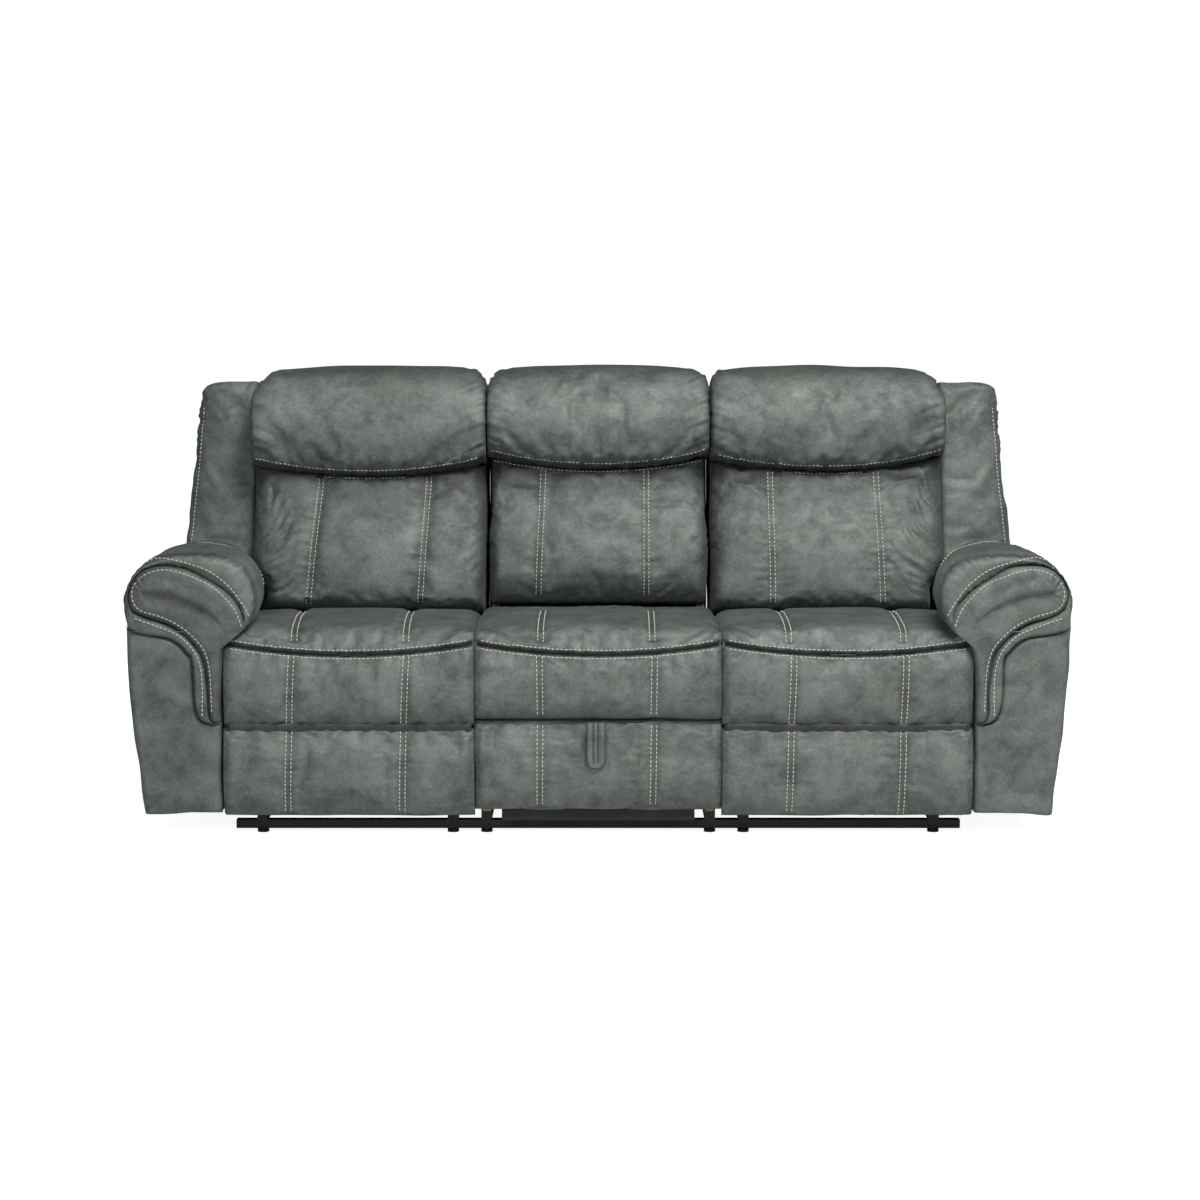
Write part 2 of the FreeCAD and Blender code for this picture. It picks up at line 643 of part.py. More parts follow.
# Footrest of an end seat: strap hinges, boards, pads and the parallel links
def strap_hinge(x, y, z, above, reach):
    """One half of a strap hinge whose knuckle line runs along X through y, z."""
    sign = 1.0 if above else -1.0
    half = HINGE_WIDTH / 2
    leaf_low = z + sign * (KNUCKLE_RADIUS - LEAF)
    leaf = block(x - half, x + half, y, y + reach, leaf_low, z + sign * KNUCKLE_RADIUS)
    middle = HINGE_SEGMENT / 2
    spans = [(-middle, middle)] if above else [(-half, -middle - 0.3), (middle + 0.3, half)]
    clear = rod(x - half - 1.0, x + half + 1.0, y, z, KNUCKLE_RADIUS + 0.3)
    shape = leaf.cut(clear)
    for start, end in spans:
        shape = shape.fuse(rod(x + start, x + end, y, z, KNUCKLE_RADIUS))
        lead = block(x + start, x + end, y, y + KNUCKLE_RADIUS + 1.0, leaf_low, z + sign * KNUCKLE_RADIUS)
        shape = shape.fuse(lead)
    if above:
        return shape.cut(rod(x - half, x + half, y, z, HINGE_PIN_RADIUS + PIVOT_CLEARANCE)).removeSplitter()
    return shape.fuse(rod(x - half, x + half, y, z, HINGE_PIN_RADIUS)).removeSplitter()


def link_bar(x0, y0, z0, y1, z1):
    """A flat steel bar between two pivots, with a rounded end about each."""
    length = math.hypot(y1 - y0, z1 - z0)
    bar = block(x0, x0 + LINK_THICKNESS, 0, length, -LINK_WIDTH / 2, LINK_WIDTH / 2)
    for along in (0.0, length):
        bar = bar.fuse(rod(x0, x0 + LINK_THICKNESS, along, 0, LINK_WIDTH / 2))
    bar = bar.removeSplitter()
    bar.rotate(V(0, 0, 0), V(1, 0, 0), math.degrees(math.atan2(z1 - z0, y1 - y0)))
    bar.translate(V(0, y0, z0))
    return bar


def make_footrest():
    board_front = FOOTREST_PAD_BACK_Y + SOFT_CLEARANCE + LEAF
    board_back = board_front + FOOTREST_BOARD
    flap_top = CHANNEL_Z - KNUCKLE_RADIUS
    crease_top = CREASE_Z + CREASE_GAP / 2
    crease_bottom = CREASE_Z - CREASE_GAP / 2
    places = hinge_places()

    # Leaves at the channel, turned down on the flap board
    moving = []
    for x in places:
        leaf = strap_hinge(x, HINGE_Y, HINGE_Z, False, board_front - HINGE_Y)
        turn = block(
            x - HINGE_WIDTH / 2,
            x + HINGE_WIDTH / 2,
            board_front - LEAF,
            board_front,
            flap_top - 50.0,
            HINGE_Z - KNUCKLE_RADIUS + LEAF,
        )
        moving.append(leaf.fuse(turn).removeSplitter())
    inner_x = SEAT_SPLIT_X + UNIT_GAP + 2.0
    board_x = (inner_x + 12.0, FOOTREST_OUT_X - 14.0)
    flap_board = block(board_x[0], board_x[1], board_front, board_back, crease_top, flap_top - 1.0)
    keep_pair("flap_board", [flap_board])

    for x in (INNER_PLATE_X - PLATE / 2 - LINK_GAP - LINK_THICKNESS, OUTER_PLATE_X + PLATE / 2 + LINK_GAP):
        lug = block(
            x,
            x + LINK_THICKNESS,
            board_back,
            FLAP_PIVOT_Y,
            FLAP_PIVOT_Z - LINK_WIDTH / 2,
            FLAP_PIVOT_Z + LINK_WIDTH / 2,
        )
        lug = lug.fuse(rod(x, x + LINK_THICKNESS, FLAP_PIVOT_Y, FLAP_PIVOT_Z, LINK_WIDTH / 2))
        radius = LINK_PIN_RADIUS + OPEN_PIVOT_CLEARANCE
        hole = rod(x - 1.0, x + LINK_THICKNESS + 1.0, FLAP_PIVOT_Y, FLAP_PIVOT_Z, radius)
        moving.append(lug.cut(hole).removeSplitter())

    def flap_outline(draw):
        inset = 9.0 * draw
        low = crease_top + SOFT_CLEARANCE
        high = flap_top - 5.0
        return [
            (FOOTREST_PAD_BACK_Y, low),
            (FOOTREST_PAD_BACK_Y, high),
            (FRONT_Y + 14.0 + inset, high),
            (FRONT_Y + 2.0 + inset, 0.5 * (low + high), FRONT_Y + 10.0 + inset, low),
        ]

    keep_pair("flap_pad", [padded(inner_x, FOOTREST_OUT_X - 3.0, flap_outline)])

    def lower_outline(draw):
        inset = 9.0 * draw
        low = FOOTREST_BOTTOM_Z + 2.0 * draw
        high = crease_bottom - SOFT_CLEARANCE
        return [
            (FOOTREST_PAD_BACK_Y, low),
            (FOOTREST_PAD_BACK_Y, high),
            (FRONT_Y + 10.0 + inset, high),
            (FRONT_Y + 2.0 + inset, 0.5 * (low + high), FRONT_Y + 12.0 + inset, low),
        ]

    keep_pair("footrest_pad", [padded(inner_x, FOOTREST_OUT_X, lower_outline)])
    lower_board = block(
        board_x[0], board_x[1], board_front, board_back, FOOTREST_BOTTOM_Z + 10.0, crease_bottom
    )
    keep_pair("footrest_board", [lower_board])

    # Leaves at the crease: the upper on the flap board, the lower on the footrest board
    reach = board_front - CREASE_HINGE_Y
    lower = []
    for x in places:
        leaf = strap_hinge(x, CREASE_HINGE_Y, CREASE_Z, True, reach + FOOTREST_BOARD)
        moving.append(leaf)
        lower.append(strap_hinge(x, CREASE_HINGE_Y, CREASE_Z, False, reach + FOOTREST_BOARD))
    keep_pair("flap_hardware", moving)
    keep_pair("footrest_hinges", lower)

    # Parallel links: the rear link swings on the side plate, the coupler joins it to the flap
    swing = []
    coupler = []
    sides = [
        (INNER_PLATE_X - PLATE / 2 - LINK_GAP - LINK_THICKNESS, -1.0),
        (OUTER_PLATE_X + PLATE / 2 + LINK_GAP, 1.0),
    ]
    for x, out in sides:
        bar = link_bar(x, LINK_ROOT_Y, LINK_ROOT_Z, LINK_START_Y, LINK_START_Z)
        radius = LINK_PIN_RADIUS + PIVOT_CLEARANCE
        for y, z in ((LINK_ROOT_Y, LINK_ROOT_Z), (LINK_START_Y, LINK_START_Z)):
            bar = bar.cut(rod(x - 1.0, x + LINK_THICKNESS + 1.0, y, z, radius))
        swing.append(bar)
        x_next = x + out * (LINK_THICKNESS + LINK_GAP)
        bar = link_bar(x_next, FLAP_PIVOT_Y, FLAP_PIVOT_Z, LINK_START_Y, LINK_START_Z)
        pin_low = min(x, x_next)
        pin_high = max(x, x_next) + LINK_THICKNESS
        for y, z in ((FLAP_PIVOT_Y, FLAP_PIVOT_Z), (LINK_START_Y, LINK_START_Z)):
            bar = bar.fuse(rod(pin_low, pin_high, y, z, LINK_PIN_RADIUS))
        coupler.append(bar.removeSplitter())
    keep_pair("rear_links", swing)
    keep_pair("coupler_links", coupler)


# Backs
def lumbar_section(z, x0, x1, front, rear):
    """A back cushion's plan outline at one height: crowned front, drawn-in sides."""
    crown = V(0.5 * (x0 + x1), front, z)
    middle = 0.5 * (rear + front)
    rear_low = V(x0 + 6.0, rear, z)
    rear_high = V(x1 - 6.0, rear, z)
    front_low = V(x0 + 16.0, front + 26.0, z)
    front_high = V(x1 - 16.0, front + 26.0, z)
    edges = [
        Part.makeLine(rear_low, rear_high),
        Part.Arc(rear_high, V(x1, middle, z), front_high).toShape(),
        Part.Arc(front_high, crown, front_low).toShape(),
        Part.Arc(front_low, V(x0, middle, z), rear_low).toShape(),
    ]
    return Part.Wire(edges)


def pillow_outline(draw):
    """A head pillow's side outline: it fronts the frame and rolls over its top."""
    inset = 14.0 * draw
    rear = BACK_BOARD_FRONT - SOFT_CLEARANCE
    low = BACK_SEAM
    over = BACK_FRAME_TOP + SOFT_CLEARANCE
    return [
        (rear, low),
        (BACK_CUSHION_FRONT + 22.0 + inset, low),
        (PILLOW_FRONT + inset, low + 110.0, BACK_CUSHION_FRONT + 5.0 + inset, BACK_TOP - 34.0 - inset),
        (-120.0, BACK_TOP - inset, -20.0, BACK_TOP - 12.0 - inset),
        (BACK_BOARD_REAR - 50.0, BACK_TOP - 24.0 - inset, BACK_BOARD_REAR - 14.0, BACK_TOP - 50.0 - inset),
        (BACK_BOARD_REAR - SOFT_CLEARANCE, OUTSIDE_BACK_TOP - 20.0),
        (BACK_BOARD_REAR - SOFT_CLEARANCE, over),
        (rear, over),
    ]


def frame_opening_boards(x0, x1, cross):
    """Two side boards and the cross boards between them, given as y and z limits."""
    boards = [
        block(x0, x0 + BOARD, BACK_BOARD_FRONT, BACK_BOARD_REAR, -20.0, BACK_FRAME_TOP),
        block(x1 - BOARD, x1, BACK_BOARD_FRONT, BACK_BOARD_REAR, -20.0, BACK_FRAME_TOP),
    ]
    for y0, y1, z0, z1 in cross:
        boards.append(block(x0 + BOARD, x1 - BOARD, y0, y1, z0, z1))
    return boards


def make_end_back():
    inner = INNER_PLATE_X + PLATE / 2 + LINK_GAP + PLATE
    outer = OUTER_PLATE_X - PLATE / 2 - LINK_GAP - PLATE
    cross = [
        (BACK_BOARD_FRONT, BACK_BOARD_FRONT + BOARD, 60.0, 120.0),
        (BACK_BOARD_FRONT, BACK_BOARD_FRONT + BOARD, BACK_SEAM - 40.0, BACK_SEAM + 20.0),
        (BACK_BOARD_FRONT, BACK_BOARD_REAR, BACK_FRAME_TOP - BOARD, BACK_FRAME_TOP),
        (BACK_BOARD_REAR - BOARD, BACK_BOARD_REAR, 20.0, 80.0),
    ]
    keep_pair("back_frame", [lean(board) for board in frame_opening_boards(inner, outer, cross)])

    brackets = []
    for plate_x, start in ((INNER_PLATE_X, inner - PLATE), (OUTER_PLATE_X, outer)):
        plate = block(start, start + PLATE, -40.0, 50.0, -35.0, 120.0)
        low = min(start, plate_x - PLATE)
        high = max(start + PLATE, plate_x + PLATE)
        pin = rod(low, high, 0, 0, BACK_PIN_RADIUS)
        brackets.append(lean(plate.fuse(pin).removeSplitter()))
    keep_pair("back_brackets", brackets)

    x0 = BACK_SPLIT_X + UNIT_GAP
    rear = BACK_BOARD_FRONT - SOFT_CLEARANCE
    height = BACK_SEAM - SOFT_CLEARANCE - BACK_CUSHION_BOTTOM
    levels = [
        (0.0, LUMBAR_OUT_X - 8.0, 34.0),
        (0.04, LUMBAR_OUT_X, 16.0),
        (0.2, LUMBAR_OUT_X, 0.0),
        (0.5, LUMBAR_OUT_X + 2.0, -4.0),
        (0.58, LUMBAR_OUT_X + 4.0, -3.0),
        (0.8, BACK_OUT_X, 0.0),
        (0.96, BACK_OUT_X, 8.0),
        (1.0, BACK_OUT_X - 3.0, 22.0),
    ]
    sections = []
    for share, x1, inset in levels:
        z = BACK_CUSHION_BOTTOM + share * height
        sections.append(lumbar_section(z, x0, x1, BACK_CUSHION_FRONT + inset, rear))
    keep_pair("lumbar_cushion", [lean(Part.makeLoft(sections, True, True))])
    keep_pair("head_pillow", [lean(padded(x0, BACK_OUT_X, pillow_outline))])

    rear_face = BACK_BOARD_REAR
    outline = [
        V(x0, rear_face, OUTSIDE_BACK_BOTTOM),
        V(WING_INNER_X, rear_face, OUTSIDE_BACK_BOTTOM),
        V(WING_INNER_X, rear_face, WING_BOTTOM),
        V(WING_OUT_BOTTOM_X, rear_face, WING_BOTTOM),
        V(WING_OUT_TOP_X, rear_face, OUTSIDE_BACK_TOP - 30.0),
        V(BACK_OUT_X, rear_face, OUTSIDE_BACK_TOP),
        V(x0, rear_face, OUTSIDE_BACK_TOP),
        V(x0, rear_face, OUTSIDE_BACK_BOTTOM),
    ]
    panel = Part.Face(Part.makePolygon(outline)).extrude(V(0, OUTSIDE_BACK, 0))
    keep_pair("outside_back", [lean(panel)])

    def wing_section(z, x1, draw):
        y0 = WING_FRONT + draw
        y1 = BACK_BOARD_REAR - SOFT_CLEARANCE
        edges = [
            Part.makeLine(V(WING_INNER_X, y1, z), V(x1 - draw, y1, z)),
            Part.makeLine(V(x1 - draw, y1, z), V(x1 - draw, y0 + 30.0, z)),
            Part.Arc(
                V(x1 - draw, y0 + 30.0, z),
                V(x1 - draw - 9.0, y0 + 9.0, z),
                V(x1 - draw - 30.0, y0, z),
            ).toShape(),
            Part.makeLine(V(x1 - draw - 30.0, y0, z), V(WING_INNER_X, y0 + 6.0, z)),
            Part.makeLine(V(WING_INNER_X, y0 + 6.0, z), V(WING_INNER_X, y1, z)),
        ]
        return Part.Wire(edges)

    span = WING_OUT_BOTTOM_X - WING_OUT_TOP_X
    stations = []
    for share, draw in ((0.0, 14.0), (0.03, 3.0), (0.5, 0.0), (0.93, 0.0), (0.98, 8.0), (1.0, 24.0)):
        z = WING_BOTTOM + share * (WING_TOP - WING_BOTTOM)
        stations.append(wing_section(z, WING_OUT_BOTTOM_X - share * span, draw))
    keep_pair("wing", [lean(Part.makeLoft(stations, True, True))])


# Middle seat: fixed frame that houses the drawer, cushion and back
def make_middle():
    inner = MIDDLE_BOARD_INNER_X
    outer = inner + BOARD
    back = SEAT_FRONT_BOARD_Y + BOARD
    side = block(inner, outer, back, SEAT_REAR_Y, SIDE_RAIL_TOP_Z, SEAT_BOARD_TOP_Z)
    boards = both_sides([side])
    boards.append(
        block(-outer, outer, SEAT_FRONT_BOARD_Y, back, APRON_BOTTOM_Z, SEAT_FRONT_BOARD_TOP_Z)
    )
    rear_low = DRAWER_BOX_TOP_Z + 10.0
    boards.append(block(-inner, inner, SEAT_REAR_Y - BOARD, SEAT_REAR_Y, rear_low, SEAT_BOARD_TOP_Z))
    keep("middle_seat_frame", boards)
    keep("middle_seat_webbing", webbing(-inner, inner, back, SEAT_REAR_Y, SEAT_BOARD_TOP_Z))
    half = SEAT_SPLIT_X - UNIT_GAP
    keep("middle_seat_cushion", [padded(-half, half, seat_outline(middle_front))])

    # Back frame: its side boards stand on the seat's side boards
    limit = BACK_SPLIT_X - 12.0
    pivot_y, pivot_z = table_pivot()
    cross = [
        (BACK_BOARD_FRONT + BOARD, BACK_BOARD_REAR, BACK_FRAME_TOP - BOARD, BACK_FRAME_TOP),
        (BACK_BOARD_REAR - BOARD, BACK_BOARD_REAR, 20.0, 80.0),
        (BACK_BOARD_REAR - BOARD, BACK_BOARD_REAR, BACK_SEAM, BACK_SEAM + 60.0),
    ]
    sweep = rod(-limit - 1.0, limit + 1.0, pivot_y, pivot_z, TABLE_SWEEP_RADIUS + TABLE_CLEARANCE)
    frame = [board.cut(sweep) for board in frame_opening_boards(-limit, limit, cross)]
    ear = block(
        limit,
        limit + TABLE_EAR,
        pivot_y - TABLE_EAR_HALF,
        BACK_BOARD_REAR - BOARD,
        pivot_z - TABLE_EAR_HALF,
        pivot_z + TABLE_EAR_HALF,
    )
    pin = rod(limit - TABLE_PIN_LENGTH, limit, pivot_y, pivot_z, TABLE_PIN_RADIUS)
    pins = both_sides([ear.fuse(pin)])
    above = lean(block(-limit - 1.0, limit + 1.0, -HALF_DEPTH, HALF_DEPTH, -20.0, BACK_FRAME_TOP))
    leg = block(limit - BOARD, limit, SEAT_REAR_Y, SEAT_REAR_Y + 100.0, SIDE_RAIL_TOP_Z, PIVOT_Z + BOARD)
    legs = leg.cut(above)
    keep("middle_back_frame", [lean(solid) for solid in frame + pins] + both_sides([legs]))

    half = BACK_SPLIT_X - UNIT_GAP
    keep("middle_head_pillow", [lean(padded(-half, half, pillow_outline))])
    panel = block(
        -half, half, BACK_BOARD_REAR, BACK_BOARD_REAR + OUTSIDE_BACK, OUTSIDE_BACK_BOTTOM, OUTSIDE_BACK_TOP
    )
    keep("middle_outside_back", [lean(panel)])


def table_pivot():
    """The table's pivot in the back's upright drawing."""
    y = BACK_CUSHION_FRONT + TABLE_PIVOT_FROM_FRONT
    angle = math.radians(BACK_LEAN_DEG)
    z = (TABLE_PIVOT_Z - PIVOT_Z + y * math.sin(angle)) / math.cos(angle)
    return y, z


def make_table():
    pivot_y, pivot_z = table_pivot()
    rear = BACK_BOARD_FRONT - WEBBING - TABLE_BOARD
    top = BACK_SEAM - 5.0

    def outline(draw):
        inset = 12.0 * draw
        front = BACK_CUSHION_FRONT + inset
        sweep = TABLE_SWEEP_RADIUS - 0.4 * inset
        rise = math.sqrt(sweep**2 - (pivot_y - front) ** 2)
        back_drop = math.sqrt(sweep**2 - (rear - pivot_y) ** 2)
        middle = math.radians(238.0)
        return [
            (rear, pivot_z - back_drop),
            (rear, top),
            (front + 12.0, top),
            (front - 4.0, pivot_z + 0.55 * (top - pivot_z), front, pivot_z - rise),
            (
                pivot_y + sweep * math.cos(middle),
                pivot_z + sweep * math.sin(middle),
                rear,
                pivot_z - back_drop,
            ),
        ]

    pad = padded(-TABLE_HALF_WIDTH, TABLE_HALF_WIDTH, outline)
    reach = TABLE_HALF_WIDTH + 5.0
    socket = rod(-reach, reach, pivot_y, pivot_z, TABLE_PIN_RADIUS + PIVOT_CLEARANCE)
    cups = []
    liners = []
    for x in (-CUP_X, CUP_X):
        z = pivot_z + CUP_HEIGHT_UP
        base = V(x, rear + TABLE_BOARD - CUP_DEPTH, z)
        cups.append(Part.makeCylinder(CUP_RADIUS + CUP_WALL, CUP_DEPTH, base, V(0, 1, 0)))
        outer = Part.makeCylinder(CUP_RADIUS + CUP_WALL, CUP_DEPTH, base, V(0, 1, 0))
        inner = Part.makeCylinder(CUP_RADIUS, CUP_DEPTH, base + V(0, CUP_WALL, 0), V(0, 1, 0))
        ring = Part.makeCylinder(CUP_RADIUS + CUP_FLANGE, CUP_WALL, V(x, rear + TABLE_BOARD, z), V(0, 1, 0))
        liners.append(outer.fuse(ring).cut(inner))
    half = TABLE_HALF_WIDTH - 8.0
    board = block(-half, half, rear, rear + TABLE_BOARD, pivot_z - 60.0, top - 6.0)
    pad = pad.cut(socket)
    for cup in cups:
        pad = pad.cut(cup)
        board = board.cut(cup)
    keep("table_pad", [lean(pad)])
    keep("table_board", [lean(board)])
    keep("cup_liners", [lean(liner) for liner in liners])


# Drawer: box, padded front, runners and the pull tab
def make_drawer():
    x = DRAWER_HALF_WIDTH
    y0 = DRAWER_FRONT_BACK_Y
    y1 = y0 + DRAWER_LENGTH
    z0 = DRAWER_BOX_BOTTOM_Z
    wall = DRAWER_WALL
    walls = [
        block(-x, x, y0, y1, z0, z0 + wall),
        block(-x, x, y0, y0 + wall, z0 + wall, DRAWER_BOX_TOP_Z),
        block(-x, x, y1 - wall, y1, z0 + wall, DRAWER_BOX_TOP_Z),
        block(-x, -x + wall, y0 + wall, y1 - wall, z0 + wall, DRAWER_BOX_TOP_Z),
        block(x - wall, x, y0 + wall, y1 - wall, z0 + wall, DRAWER_BOX_TOP_Z),
    ]
    keep("drawer_box", walls)

    def outline(draw):
        inset = 9.0 * draw
        top = DRAWER_FRONT_TOP_Z
        face = FRONT_Y + TAB_THICKNESS + 1.0
        return [
            (y0, DRAWER_FRONT_BOTTOM_Z),
            (y0, top),
            (face + 8.0 + inset, top),
            (face + inset, 0.5 * (top + DRAWER_FRONT_BOTTOM_Z), face + 10.0 + inset, DRAWER_FRONT_BOTTOM_Z),
        ]

    half = SEAT_SPLIT_X - UNIT_GAP
    anchor_y = FRONT_Y + TAB_THICKNESS + SOFT_CLEARANCE
    reach = 24.0
    left = TAB_X - TAB_WIDTH / 2
    anchor = block(left, left + TAB_WIDTH, anchor_y, anchor_y + reach, DRAWER_FRONT_TOP_Z, TAB_TOP_Z)
    keep("drawer_front", [padded(-half, half, outline), anchor])
    outer = MIDDLE_BOARD_INNER_X
    fixed = block(outer - RUNNER_THICKNESS, outer, y0 + 40.0, y1, RUNNER_Z, RUNNER_Z + RUNNER_HEIGHT)
    keep("fixed_runners", both_sides([fixed]))
    gap = SOFT_CLEARANCE
    low = RUNNER_Z + 5.0
    high = RUNNER_Z + RUNNER_HEIGHT - 5.0
    moving = block(x, outer - RUNNER_THICKNESS - gap, y0 + 10.0, y1, low, high)
    keep("drawer_runners", both_sides([moving]))

    tab_y = FRONT_Y
    half = TAB_WIDTH / 2
    tab = block(TAB_X - half, TAB_X + half, tab_y, tab_y + TAB_THICKNESS, TAB_BOTTOM_Z + half, TAB_TOP_Z)
    tip = Part.makeCylinder(half, TAB_THICKNESS, V(TAB_X, tab_y, TAB_BOTTOM_Z + half), V(0, 1, 0))
    keep("pull_tab", [tab.fuse(tip).removeSplitter()])


make_base()
make_arm()
make_end_seat()
make_footrest()
make_end_back()
make_middle()
make_table()
make_drawer()

os.makedirs("parts", exist_ok=True)
low = [1e9, 1e9, 1e9]
high = [-1e9, -1e9, -1e9]
for name, solids in sorted(NODES.items()):
    shape = solids[0] if len(solids) == 1 else Part.makeCompound(solids)
    bounds = shape.BoundBox
    low = [min(a, b) for a, b in zip(low, (bounds.XMin, bounds.YMin, bounds.ZMin))]
    high = [max(a, b) for a, b in zip(high, (bounds.XMax, bounds.YMax, bounds.ZMax))]
    if not shape.isValid():
        print("not valid:", name)
    shape.exportStep("parts/" + name + ".step")
print(len(NODES), "nodes, box", [round(a, 1) for a in low], [round(b, 1) for b in high])
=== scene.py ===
import json
import math

import bmesh
import bpy
import numpy as np
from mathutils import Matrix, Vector
from mathutils.bvhtree import BVHTree


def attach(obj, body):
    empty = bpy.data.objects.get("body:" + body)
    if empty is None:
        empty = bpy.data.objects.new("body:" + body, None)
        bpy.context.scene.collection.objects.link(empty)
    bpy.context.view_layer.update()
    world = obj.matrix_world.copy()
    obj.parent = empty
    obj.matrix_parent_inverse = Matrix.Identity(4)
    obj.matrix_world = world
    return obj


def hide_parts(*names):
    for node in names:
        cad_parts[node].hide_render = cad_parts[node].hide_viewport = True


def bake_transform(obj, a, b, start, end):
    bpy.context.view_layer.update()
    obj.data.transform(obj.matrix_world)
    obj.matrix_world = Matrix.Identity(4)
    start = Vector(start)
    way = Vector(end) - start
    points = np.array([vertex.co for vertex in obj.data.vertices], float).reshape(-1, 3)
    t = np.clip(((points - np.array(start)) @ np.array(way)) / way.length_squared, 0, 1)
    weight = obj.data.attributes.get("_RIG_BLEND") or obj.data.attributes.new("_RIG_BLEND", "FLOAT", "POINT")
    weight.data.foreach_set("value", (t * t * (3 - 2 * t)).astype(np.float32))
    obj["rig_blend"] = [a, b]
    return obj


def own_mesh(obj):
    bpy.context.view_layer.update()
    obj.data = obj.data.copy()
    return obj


# A three-seat reclining sofa in mottled suede-like cloth with thick contrast
# topstitching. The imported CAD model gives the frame, the mechanism and every
# place; the soft covers, seams and threads are made here, piece by piece.
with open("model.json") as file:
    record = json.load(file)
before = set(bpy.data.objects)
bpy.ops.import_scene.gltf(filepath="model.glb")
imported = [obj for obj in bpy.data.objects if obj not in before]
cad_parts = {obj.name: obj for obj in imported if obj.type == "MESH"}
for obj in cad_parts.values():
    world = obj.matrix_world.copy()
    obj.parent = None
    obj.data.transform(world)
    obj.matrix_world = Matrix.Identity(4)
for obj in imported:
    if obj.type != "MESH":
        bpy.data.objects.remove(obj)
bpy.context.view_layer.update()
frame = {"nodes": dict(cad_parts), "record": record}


# Suede: brushed microfibre cloth, dyed unevenly so that it looks worn and
# clouded; the pile catches the light in soft patches and the weave of the
# backing shows as a fine grain.
def nodes_of(name):
    """A new material's node tree with its shader, ready for links."""
    material = bpy.data.materials.new(name)
    material.use_nodes = True
    tree = material.node_tree
    return material, tree, tree.nodes["Principled BSDF"]


def noise(tree, scale, detail, roughness, stretch=(1.0, 1.0, 1.0), distortion=0.0):
    """A noise pattern on Object coordinates, stretched along the axes."""
    where = tree.nodes.new("ShaderNodeTexCoord")
    mapping = tree.nodes.new("ShaderNodeMapping")
    mapping.inputs["Scale"].default_value = stretch
    pattern = tree.nodes.new("ShaderNodeTexNoise")
    pattern.inputs["Scale"].default_value = scale
    pattern.inputs["Detail"].default_value = detail
    pattern.inputs["Roughness"].default_value = roughness
    pattern.inputs["Distortion"].default_value = distortion
    tree.links.new(where.outputs["Object"], mapping.inputs["Vector"])
    tree.links.new(mapping.outputs["Vector"], pattern.inputs["Vector"])
    return pattern.outputs["Fac"]


def ramp(tree, source, stops):
    """A colour ramp with the given (place, grey or colour) stops."""
    node = tree.nodes.new("ShaderNodeValToRGB")
    elements = node.color_ramp.elements
    while len(elements) < len(stops):
        elements.new(0.5)
    for element, (place, colour) in zip(elements, stops):
        element.position = place
        if not isinstance(colour, tuple):
            colour = (colour, colour, colour)
        element.color = (*colour, 1.0)
    tree.links.new(source, node.inputs["Fac"])
    return node.outputs["Color"]


def mixed(tree, kind, share, first, second):
    """Two colours mixed; share, first and second may be a socket or a value."""
    node = tree.nodes.new("ShaderNodeMix")
    node.data_type = "RGBA"
    node.blend_type = kind
    for socket, value in ((node.inputs[0], share), (node.inputs[6], first), (node.inputs[7], second)):
        if hasattr(value, "links"):
            tree.links.new(value, socket)
        elif isinstance(value, tuple):
            socket.default_value = (*value, 1.0)
        else:
            socket.default_value = value
    return node.outputs[2]


def bumped(tree, shader, heights):
    """Bump nodes in a chain, one for each (height, strength, distance)."""
    last = None
    for height, strength, distance in heights:
        bump = tree.nodes.new("ShaderNodeBump")
        bump.inputs["Strength"].default_value = strength
        bump.inputs["Distance"].default_value = distance
        tree.links.new(height, bump.inputs["Height"])
        if last:
            tree.links.new(last, bump.inputs["Normal"])
        last = bump.outputs["Normal"]
    tree.links.new(last, shader.inputs["Normal"])


